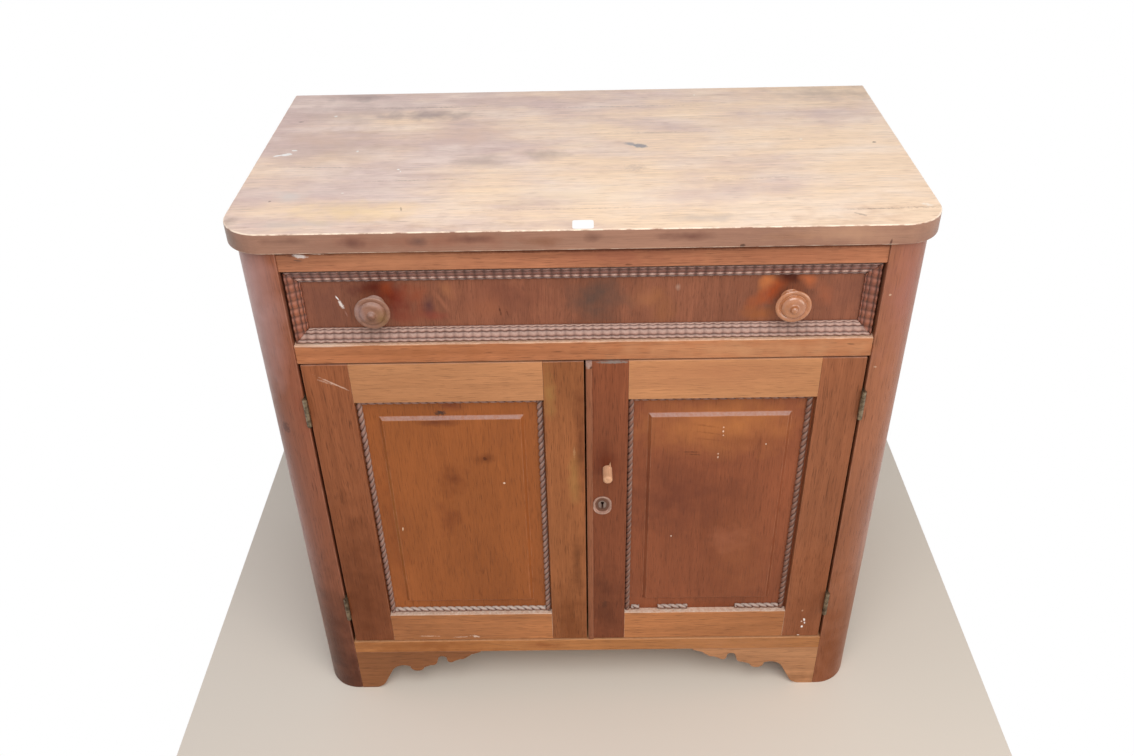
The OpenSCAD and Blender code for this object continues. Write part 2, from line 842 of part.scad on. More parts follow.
module left_door_top_rail() {
    color("#a05c32") at_face() door_rail(panel_z1, door_z1, left_panel_x0, left_panel_x1);
}

module left_door_bottom_rail() {
    color("#9c5930") at_face() door_rail(door_z0, panel_z0, left_panel_x0, left_panel_x1);
}

module left_door_panel() {
    color("#7d4527") at_face() door_panel(left_panel_x0, left_panel_x1);
}

module left_door_rope() {
    x1 = left_panel_x1 - left_rope_gap;
    color("#6a4c40") at_face() {
        rope_sides(left_panel_x0, x1);
        rope_level(left_panel_x0, x1, [0, 1], panel_z0, true);
        rope_level(left_panel_x0, x1, [0, 1], panel_z1, false);
    }
}

// Bolt on the back of the left door, which shoots up into the middle rail
module bolt_plate() {
    guide_h = 6;
    plate_half = bolt_guide_r + 4;
    plate_z0 = bolt_z1 - bolt_len + 8;
    plate_z1 = bolt_z1 - 2;
    color("#6e5f45") at_face() difference() {
        union() {
            block([bolt_x - plate_half, door_t, plate_z0],
                [bolt_x + plate_half, door_t + bolt_plate_t, plate_z1]);
            for (z = [plate_z0, plate_z1 - guide_h]) {
                translate([bolt_x, bolt_d, z]) cylinder(h = guide_h, r = bolt_guide_r);
                block([bolt_x - bolt_guide_r, door_t, z], [bolt_x + bolt_guide_r, bolt_d, z + guide_h]);
            }
        }
        translate([bolt_x, bolt_d, plate_z0 - 1]) cylinder(h = bolt_len, r = bolt_r + fit_clearance);
    }
}

module door_bolt() {
    thumb_z = bolt_z1 - bolt_len / 2 - 4;
    color("#5d5648") at_face() {
        translate([bolt_x, bolt_d, bolt_z1 - bolt_len]) cylinder(h = bolt_len, r = bolt_r);
        translate([bolt_x, bolt_d + bolt_r + 8, thumb_z]) rotate([90, 0, 0])
            cylinder(h = bolt_r + 8, r = 2);
    }
}

// Right door, which has the bead, the peg, the lock and the escutcheon
module escutcheon_outline(r) {
    for (z = [-0.5, 0.5]) translate([0, z * escutcheon_straight]) circle(r = r);
    translate([-r, -escutcheon_straight / 2]) square([2 * r, escutcheon_straight]);
}

module keyhole_outline(grow) {
    translate([0, 3]) circle(r = key_r + grow);
    translate([-key_slot_w / 2 - grow, 3 - key_slot_h - grow]) square([key_slot_w + 2 * grow, key_slot_h]);
}

// An outline in X and Z, given thickness between two depths behind the door's face
module through_face(front, back) {
    translate([keyhole_x, back, keyhole_z]) rotate([90, 0, 0]) linear_extrude(back - front) children();
}

escutcheon_depth = 2;
escutcheon_proud = 1;
escutcheon_rim = 1.8;

module right_door_meeting_stile() {
    color("#6f3c25") at_face() difference() {
        door_stile(right_door_x0, right_panel_x0, right_panel_x0, right_panel_x1);
        block([right_door_x0 - 1, -1, door_z0 - 1], [right_door_x0 + bead_w, bead_w / 2, door_z1 + 1]);
        through_face(-1, escutcheon_depth) escutcheon_outline(escutcheon_r + fit_clearance);
        through_face(-1, door_t + 1) keyhole_outline(1);
        translate([peg_x, peg_hole_depth, peg_z]) rotate([90, 0, 0])
            cylinder(h = peg_hole_depth + 1, r = peg_r + pin_clearance);
    }
}

module right_door_hinge_stile() {
    color("#6f3c25") at_face() difference() {
        door_stile(right_panel_x1, right_door_x1, right_panel_x0, right_panel_x1);
        pilot_holes(right_door_x1 + 1, -1);
    }
}

module right_door_top_rail() {
    color("#a05c32") at_face() door_rail(panel_z1, door_z1, right_panel_x0, right_panel_x1);
}

module right_door_bottom_rail() {
    color("#9c5930") at_face() door_rail(door_z0, panel_z0, right_panel_x0, right_panel_x1);
}

module right_door_panel() {
    color("#74402a") at_face() door_panel(right_panel_x0, right_panel_x1);
}

// Where lengths of the broken bottom rope remain, as shares of the way between the side ropes
rope_remains = [[0.01, 0.065], [0.19, 0.39], [0.71, 1]];

module right_door_rope() {
    x1 = right_panel_x1 - right_rope_gap;
    color("#6a4c40") at_face() {
        rope_sides(right_panel_x0, x1);
        rope_level(right_panel_x0, x1, [0, 1], panel_z1, false);
        for (shares = rope_remains) rope_level(right_panel_x0, x1, shares, panel_z0, true);
    }
}

module meeting_bead() {
    bead_back = bead_w / 2;
    color("#8a5238") at_face() {
        block([right_door_x0, 0, door_z0], [right_door_x0 + bead_w, bead_back, door_z1]);
        intersection() {
            translate([right_door_x0 + bead_w / 2, bead_back, door_z0])
                cylinder(h = door_z1 - door_z0, r = bead_back + bead_proud);
            block([right_door_x0, -bead_proud, door_z0], [right_door_x0 + bead_w, 0, door_z1]);
        }
    }
}

module handle_peg() {
    tip = 1.5;
    color("#c99a68") at_face() translate([peg_x, peg_hole_depth, peg_z]) rotate([90, 0, 0]) {
        cylinder(h = peg_hole_depth + peg_proud - tip, r = peg_r);
        translate([0, 0, peg_hole_depth + peg_proud - tip]) cylinder(h = tip, r1 = peg_r, r2 = peg_r - tip);
    }
}

module escutcheon() {
    color("#8f8578") at_face() difference() {
        union() {
            through_face(-escutcheon_proud, escutcheon_depth) difference() {
                escutcheon_outline(escutcheon_r);
                escutcheon_outline(escutcheon_r - escutcheon_rim);
            }
            through_face(escutcheon_depth - 1, escutcheon_depth) escutcheon_outline(escutcheon_r);
        }
        through_face(-2, escutcheon_depth + 1) keyhole_outline(0);
    }
}

module lock_bolt_bar(grow) {
    bar_d = door_t + 3;
    bar_z = keyhole_z + 8;
    block([lock_case_x - (grow > 0 ? 1 : 0), bar_d - grow, bar_z - grow],
        [lock_case_x + lock_bar_len + grow, bar_d + lock_bar_t + grow, bar_z + lock_bar_h + grow]);
}

module lock_box(low, wall) {
    block([lock_case_x + wall, door_t + wall, low + wall],
        [lock_case_x + lock_case_w - wall, door_t + lock_case_d - wall, low + lock_case_h - wall]);
}

module lock_case() {
    low = keyhole_z - lock_case_h / 2;
    color("#6e6455") at_face() difference() {
        lock_box(low, 0);
        lock_box(low, lock_wall);
        lock_bolt_bar(running_clearance);
        through_face(door_t - 1, door_t + lock_wall + 1) keyhole_outline(0.5);
    }
}

module lock_bolt() {
    color("#a58c4e") at_face() lock_bolt_bar(0);
}

top_board();
left_front_post();
right_front_post();
left_rear_post();
right_rear_post();
left_side_panel();
right_side_panel();
left_side_rails();
right_side_rails();
top_rail();
middle_rail();
bottom_rail();
left_foot_bracket();
right_foot_bracket();
glue_blocks();
back_rails();
back_boards();
cabinet_floor();
floor_cleats();
drawer_runners();
drawer_guides();
drawer_kickers();
drawer_stops();
left_case_leaves();
right_case_leaves();
hinge_pins();
case_hinge_screws();
drawer_front();
drawer_left_side();
drawer_right_side();
drawer_back();
drawer_bottom();
drawer_top_moulding();
drawer_bottom_moulding();
drawer_end_mouldings();
left_knob();
right_knob();
left_door_hinge_stile();
left_door_meeting_stile();
left_door_top_rail();
left_door_bottom_rail();
left_door_panel();
left_door_rope();
left_door_leaves();
left_door_screws();
bolt_plate();
door_bolt();
right_door_hinge_stile();
right_door_meeting_stile();
right_door_top_rail();
right_door_bottom_rail();
right_door_panel();
right_door_rope();
right_door_leaves();
right_door_screws();
meeting_bead();
handle_peg();
escutcheon();
lock_case();
lock_bolt();
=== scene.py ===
import math
from functools import partial

import bmesh
import bpy
from mathutils import Matrix, Vector, noise


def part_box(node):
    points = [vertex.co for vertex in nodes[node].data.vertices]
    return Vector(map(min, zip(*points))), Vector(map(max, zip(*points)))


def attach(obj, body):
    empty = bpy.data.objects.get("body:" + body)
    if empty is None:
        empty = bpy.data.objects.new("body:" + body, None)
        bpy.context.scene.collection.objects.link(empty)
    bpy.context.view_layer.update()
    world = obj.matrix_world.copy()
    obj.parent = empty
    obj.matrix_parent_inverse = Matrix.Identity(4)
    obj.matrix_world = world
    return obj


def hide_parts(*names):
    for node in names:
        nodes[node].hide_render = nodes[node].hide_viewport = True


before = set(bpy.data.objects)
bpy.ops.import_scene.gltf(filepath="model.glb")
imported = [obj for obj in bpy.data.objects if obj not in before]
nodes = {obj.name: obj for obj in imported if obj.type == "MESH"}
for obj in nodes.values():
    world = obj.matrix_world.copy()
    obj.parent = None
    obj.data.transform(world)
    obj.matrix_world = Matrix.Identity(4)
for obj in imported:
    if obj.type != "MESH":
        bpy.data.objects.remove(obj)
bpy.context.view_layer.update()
scene = bpy.context.scene
print("frame loaded:", len(nodes), "nodes")

# Where the face of the rails, the top and the two ends of the door panels lie, in metres
faceY = -0.191
topZ = 0.747
panelHead = 0.519
panelFoot = 0.1515

# How far a mark on the face or on the top reaches into the wood
faceReach = 0.06
topReach = 0.01


def hexToLinear(code):
    values = [int(code[i:i + 2], 16) / 255 for i in (1, 3, 5)]
    return tuple(v / 12.92 if v < 0.04045 else ((v + 0.055) / 1.055) ** 2.4 for v in values) + (1.0,)


# Adds a node with its inputs and settings, and gives back the output that is asked for. A colour
# may be given as its hex code
def addNode(tree, kind, inputs=(), output=0, **settings):
    node = tree.nodes.new("ShaderNode" + kind)
    for key, value in settings.items():
        setattr(node, key, value)
    for key, value in inputs.items() if isinstance(inputs, dict) else enumerate(inputs):
        if isinstance(value, bpy.types.NodeSocket):
            tree.links.new(value, node.inputs[key])
        else:
            node.inputs[key].default_value = hexToLinear(value) if isinstance(value, str) else value
    return node.outputs[output] if node.outputs else node


def newMaterial(name):
    mat = bpy.data.materials.new(name)
    mat.use_nodes = True
    mat.node_tree.nodes.clear()
    return mat, mat.node_tree


# Patterns give their size across and along the grain in millimetres, detail and roughness. Ring is
# the width of a growth ring and heart where the tree's heart lies
woodDefaults = {
    "grain": "z", "seed": (0, 0, 0), "base": "#8f563a", "lighter": (1.22, 1.22, 1.2),
    "darker": (0.58, 0.5, 0.46), "pore": "#2c140c",
    "ring": 0.006, "heart": (0.05, 0.11, 0), "tilt": (1.5, 1), "bend": 0.012,
    "rings": 0.3, "fibres": 0.17, "pores": 0.45, "contrast": 1,
    "patterns": {"broad": (120, 260, 4, 0.55), "fibre": (1.1, 45, 4, 0.62),
                 "streak": (7.5, 170, 3, 0.55), "pore": (0.8, 20, 1, 0.5)},
    "worn": "#b98263", "wornAmount": 0.5, "dust": "#b59c90", "dustAmount": 0.35,
    "rough": (0.36, 0.52), "shine": 0.14, "coat": 0.06, "coatRough": 0.25, "bump": 0.35,
    "markDepth": 0.013, "bleachAndSheen": None}


# Wood: growth rings cut at a slight angle, fibres and pores along the grain, uneven polish,
# worn arrises, dust on what faces up, and single marks
def woodMaterial(name, look, marks):
    look = {**woodDefaults, **look}
    mat, tree = newMaterial(name)
    add = partial(addNode, tree)
    place = add("TexCoord", output="Object")
    normalZ = add("SeparateXYZ", [add("NewGeometry", output="Normal")], 2)
    turn = {"x": (0, math.pi / 2, 0), "y": (math.pi / 2, 0, 0), "z": (0, 0, 0)}[look["grain"]]
    along = add("Mapping", {"Vector": place, "Location": look["seed"], "Rotation": turn})
    slow = add("Mapping", {"Vector": along, "Scale": (7, 7, 1.9)})
    drift = add("TexNoise", {"Vector": slow, "Scale": 1, "Detail": 3, "Roughness": 0.55}, "Color")
    bend = look["bend"]
    shift = add("VectorMath", [drift, (bend, bend, 0), (-bend / 2, -bend / 2, 0)],
                operation="MULTIPLY_ADD")
    curved = add("VectorMath", [along, shift], operation="ADD")
    pattern = {}
    for key, (across, length, detail, rough) in {**woodDefaults["patterns"], **look["patterns"]}.items():
        fine = add("Mapping", {"Vector": curved, "Scale": (1000 / across, 1000 / across, 1000 / length)})
        pattern[key] = add("TexNoise", {"Vector": fine, "Scale": 1, "Detail": detail, "Roughness": rough})
    broad = pattern["broad"]

    # Growth rings of uneven width round the heart of the tree
    heart = add("Mapping", {"Vector": curved, "Location": look["heart"],
                            "Rotation": tuple(math.radians(a) for a in look["tilt"]) + (0,)})
    level = add("VectorMath", [heart, (1, 1, 0)], operation="MULTIPLY")
    radius = add("VectorMath", [level], "Value", operation="LENGTH")
    bands = add("TexNoise", {"W": radius, "Scale": 1 / look["ring"], "Detail": 3, "Roughness": 0.62},
                noise_dimensions="1D")
    ring = add("MapRange", [bands, 0.42, 0.66, 0, 1], interpolation_type="SMOOTHSTEP")
    ring = add("Math", [ring, add("MapRange", [broad, 0.35, 0.65, 0.4, 1])], operation="MULTIPLY")

    base = hexToLinear(look["base"])
    light = tuple(min(v * k, 1) for v, k in zip(base, look["lighter"])) + (1,)
    dark = tuple(v * k for v, k in zip(base, look["darker"])) + (1,)
    tone = add("MapRange", [broad, 0.5 - 0.2 / look["contrast"], 0.5 + 0.2 / look["contrast"], 0, 1])
    ramp = add("ValToRGB", [tone])
    stops = ramp.node.color_ramp.elements
    stops[0].color = [b + (d - b) * 0.4 for b, d in zip(base, dark)]
    stops[1].color = light
    stops.new(0.45).color = base
    colour = ramp
    if look["bleachAndSheen"]:
        # What faces up is paler: partly bleached wood and partly a painted sheen; warm in places and grey in
        # others, greyer towards the back left as painted shade, and scuffed pale
        bleachAndSheen = look["bleachAndSheen"]
        paintedShadeSlope = add("VectorMath", [place, bleachAndSheen["paintedShadeToward"]], "Value", operation="DOT_PRODUCT")
        patch = add("Math", [pattern["patch"], paintedShadeSlope], operation="ADD")
        amount = add("MapRange", [patch, 0.36, 0.70, 0, 1], interpolation_type="SMOOTHSTEP")
        pale = add("Mix", {0: amount, 6: bleachAndSheen["warm"], 7: bleachAndSheen["grey"]}, 2, data_type="RGBA")
        amount = add("MapRange", [pattern["scuff"], 0.45, 0.7, 0, 0.5])
        pale = add("Mix", {0: amount, 6: pale, 7: bleachAndSheen["scuff"]}, 2, data_type="RGBA")
        upward = add("MapRange", [normalZ, 0.45, 0.95, 0, 1])
        colour = add("Mix", {0: upward, 6: colour, 7: pale}, 2, data_type="RGBA")
        dark = add("Mix", {0: upward, 6: dark, 7: bleachAndSheen["dark"]}, 2, data_type="RGBA")
    amount = add("Math", [ring, look["rings"]], operation="MULTIPLY")
    colour = add("Mix", {0: amount, 6: colour, 7: dark}, 2, data_type="RGBA")
    fib = look["fibres"]
    shade = add("Math", [add("MapRange", [pattern["fibre"], 0.25, 0.75, 1 - fib, 1 + fib * 0.9]),
                         add("MapRange", [pattern["streak"], 0.28, 0.72, 1 - fib * 0.5, 1 + fib * 0.5])],
                operation="MULTIPLY")
    colour = add("VectorMath", {0: colour, "Scale": shade}, operation="SCALE")
    pore = add("MapRange", [pattern["pore"], 0.58, 0.72, 0, 1])
    amount = add("Math", [pore, look["pores"]], operation="MULTIPLY")
    colour = add("Mix", {0: amount, 6: colour, 7: look["pore"]}, 2, data_type="RGBA")

    # Stains, knots, chips and scratches, and painted shadows, shade, highlights and sheen: ovals with uneven
    # edges, or square ones
    ragged = add("TexNoise", {"Vector": place, "Scale": 260, "Detail": 4, "Roughness": 0.65})
    cloudy = add("TexNoise", {"Vector": curved, "Scale": 45, "Detail": 3, "Roughness": 0.5})
    depth = faceY + look["markDepth"]
    shown = add("MapRange", [add("SeparateXYZ", [place], 1), depth, depth + 0.0015, 1, 0])
    for mark in marks:
        oval = add("Mapping", {"Vector": place, "Location": mark["at"], "Scale": mark["size"],
                               "Rotation": [math.radians(a) for a in mark["turn"]]}, vector_type="TEXTURE")
        if mark["square"]:
            squared = add("VectorMath", [oval, oval], operation="MULTIPLY")
            oval = add("VectorMath", [squared, squared], operation="MULTIPLY")
        reach = add("VectorMath", [oval], "Value", operation="LENGTH")
        edge = add("MapRange", [cloudy if mark["soft"] else ragged, 0.2, 0.8, -mark["rag"], mark["rag"]])
        reach = add("Math", [reach, edge], operation="ADD")
        amount = add("MapRange", [reach, 1, mark["core"], 0, mark["amount"]])
        amount = add("Math", [amount, shown], operation="MULTIPLY")
        colour = add("Mix", {0: amount, 6: colour, 7: mark["colour"]}, 2, data_type="RGBA")

    # Worn arrises, which the bevels carry as an attribute
    worn = add("Attribute", output="Fac", attribute_name="worn")
    uneven = add("TexNoise", {"Vector": place, "Scale": 55, "Detail": 4, "Roughness": 0.6})
    rubbed = add("Math", [worn, add("MapRange", [uneven, 0.38, 0.66, 0, look["wornAmount"]])],
                 operation="MULTIPLY")
    rubbed = add("Math", [rubbed, add("MapRange", [normalZ, -0.6, 0.2, 0.1, 1])], operation="MULTIPLY")
    colour = add("Mix", {0: rubbed, 6: colour, 7: look["worn"]}, 2, data_type="RGBA")

    lying = add("MapRange", [ragged, 0.3, 0.7, 0.4 * look["dustAmount"], look["dustAmount"]])
    dust = add("Math", [add("MapRange", [normalZ, 0.35, 0.9, 0, 1]), lying], operation="MULTIPLY")
    colour = add("Mix", {0: dust, 6: colour, 7: look["dust"]}, 2, data_type="RGBA")

    rough = add("MapRange", [broad, 0.3, 0.7, look["rough"][0], look["rough"][1]])
    rough = add("Math", [dust, 0.35, rough], operation="MULTIPLY_ADD")
    rough = add("Math", [pore, 0.12, rough], operation="MULTIPLY_ADD")
    height = add("Math", [add("Math", [pattern["fibre"], 0.5], operation="MULTIPLY"), pore],
                 operation="SUBTRACT")
    bump = add("Bump", {"Height": height, "Strength": look["bump"], "Distance": 0.0006})
    shader = add("BsdfPrincipled", {
        "Base Color": colour, "Roughness": rough, "Normal": bump, "Specular IOR Level": look["shine"],
        "Coat Weight": look["coat"], "Coat Roughness": look["coatRough"]})
    add("OutputMaterial", {"Surface": shader})
    return mat


# Old metal: cloudy tarnish, and for the keyhole plate zones from its middle outwards
def metalMaterial(name, look):
    mat, tree = newMaterial(name)
    add = partial(addNode, tree)
    place = add("TexCoord", output="Object")
    cloud = add("TexNoise", {"Vector": place, "Scale": 170, "Detail": 5, "Roughness": 0.62})
    fine = add("TexNoise", {"Vector": place, "Scale": 900, "Detail": 3, "Roughness": 0.6})
    base = hexToLinear(look["base"])
    if "zones" in look:
        oval = add("Mapping", {"Vector": place, "Location": look["at"], "Scale": look["size"]},
                   vector_type="TEXTURE")
        reach = add("VectorMath", [oval], "Value", operation="LENGTH")
        ramp = add("ValToRGB", [add("Math", [cloud, 0.25, reach], operation="MULTIPLY_ADD")])
        stops = ramp.node.color_ramp.elements
        for i, (at, code) in enumerate(look["zones"]):
            stop = stops[i] if i < 2 else stops.new(at)
            stop.position = at
            stop.color = hexToLinear(code)
        base = ramp
    amount = add("MapRange", [cloud, 0.4, 0.62, 0, look["amount"]])
    colour = add("Mix", {0: amount, 6: base, 7: look["tarnish"]}, 2, data_type="RGBA")
    height = add("Math", [fine, 0.3, cloud], operation="MULTIPLY_ADD")
    bump = add("Bump", {"Height": height, "Strength": 0.3, "Distance": 0.0004})
    rough = add("MapRange", [cloud, 0.3, 0.7, look["rough"] - 0.08, look["rough"] + 0.14])
    shader = add("BsdfPrincipled", {"Base Color": colour, "Metallic": look["metallic"],
                                    "Roughness": rough, "Normal": bump})
    add("OutputMaterial", {"Surface": shader})
    return mat


# Old mouldings: dark in the grooves, grey dust on the high places. Open is how much of the dark
# is left in grooves that face up
def mouldingMaterial(name, look):
    mat, tree = newMaterial(name)
    add = partial(addNode, tree)
    place = add("TexCoord", output="Object")
    normalZ = add("SeparateXYZ", [add("NewGeometry", output="Normal")], 2)
    groove = add("Attribute", output="Fac", attribute_name="groove")
    cloud = add("TexNoise", {"Vector": place, "Scale": 45, "Detail": 5, "Roughness": 0.62})
    fine = add("TexNoise", {"Vector": place, "Scale": 700, "Detail": 3, "Roughness": 0.65})
    amount = add("MapRange", [cloud, 0.38, 0.62, 0, 1])
    colour = add("Mix", {0: amount, 6: look["base"], 7: look["other"]}, 2, data_type="RGBA")
    lying = add("MapRange", [fine, 0.3, 0.7, 0.55 * look["dustAmount"], look["dustAmount"]])
    dust = add("Math", [add("MapRange", [normalZ, look["dustFrom"], 0.75, 0, 1]), lying],
               operation="MULTIPLY")
    # Where the groove attribute is below nothing: caked dust, which on the upper ripple also paints a
    # highlight
    cakedDustAndHighlight = add("Math", [add("MapRange", [groove, 0.0, -1.0, 0, 1]), lying], operation="MULTIPLY")
    dust = add("Math", [dust, cakedDustAndHighlight], operation="MAXIMUM")
    colour = add("Mix", {0: dust, 6: colour, 7: look["dust"]}, 2, data_type="RGBA")
    filled = add("MapRange", [normalZ, 0.1, 0.8, look["grime"], look["grime"] * look["open"]])
    amount = add("Math", [groove, filled], operation="MULTIPLY")
    colour = add("Mix", {0: amount, 6: colour, 7: look["dirt"]}, 2, data_type="RGBA")
    height = add("Math", [fine, cloud], operation="ADD")
    bump = add("Bump", {"Height": height, "Strength": 0.25, "Distance": 0.0004})
    rough = add("MapRange", [dust, 0.0, 0.8, look["rough"], 0.8])
    shader = add("BsdfPrincipled", {
        "Base Color": colour, "Normal": bump, "Roughness": rough, "Specular IOR Level": 0.35,
        "Coat Weight": look["coat"], "Coat Roughness": 0.25})
    add("OutputMaterial", {"Surface": shader})
    return mat


# A small mark on the face: its place and its size from middle to edge in millimetres, and its turn
# in degrees. Rag is how uneven the edge is and core how much of the middle is even
def fleck(x, z, width, height, colour, amount=0.7, turn=0, rag=0.4, core=0.5, soft=False):
    return {"at": (x / 1000, faceY, z / 1000), "size": (width / 1000, faceReach, height / 1000),
            "turn": (0, turn, 0), "colour": colour, "amount": amount, "rag": rag, "core": core,
            "soft": soft, "square": False}


# A cloudy one without a sharp edge, used for stains and for painted shade and sheen
def stainAndPaintedLight(x, z, width, height, colour, amount=0.6, turn=0, rag=0.5):
    return fleck(x, z, width, height, colour, amount, turn, rag, 0, True)


# The same on the top, given from above
def topFleck(x, y, width, depth, colour, amount=0.8, turn=0, rag=0.4, core=0.5, soft=False):
    return {**fleck(x, 0, width, 0, colour, amount, 0, rag, core, soft), "turn": (0, 0, turn),
            "at": (x / 1000, y / 1000, topZ), "size": (width / 1000, depth / 1000, topReach)}


def topStain(x, y, width, depth, colour, amount=0.6):
    return topFleck(x, y, width, depth, colour, amount, 0, 0.5, 0, True)


postLook = {"ring": 0.007, "rings": 0.25, "fibres": 0.14, "rough": (0.3, 0.42), "shine": 0.16,
            "coat": 0.12, "worn": "#b88570", "markDepth": 1}

pineLook = {"pore": "#6b4a30", "rings": 0.5, "pores": 0.2, "worn": "#c0a07a", "rough": (0.7, 0.85),
            "coat": 0, "bump": 0.5, "dust": "#a99a86", "darker": (0.62, 0.52, 0.42)}

panelLook = {"ring": 0.012, "rings": 0.15, "fibres": 0.11, "pores": 0.35, "rough": (0.3, 0.44),
             "coat": 0.1, "dust": "#b79c97", "dustAmount": 1}

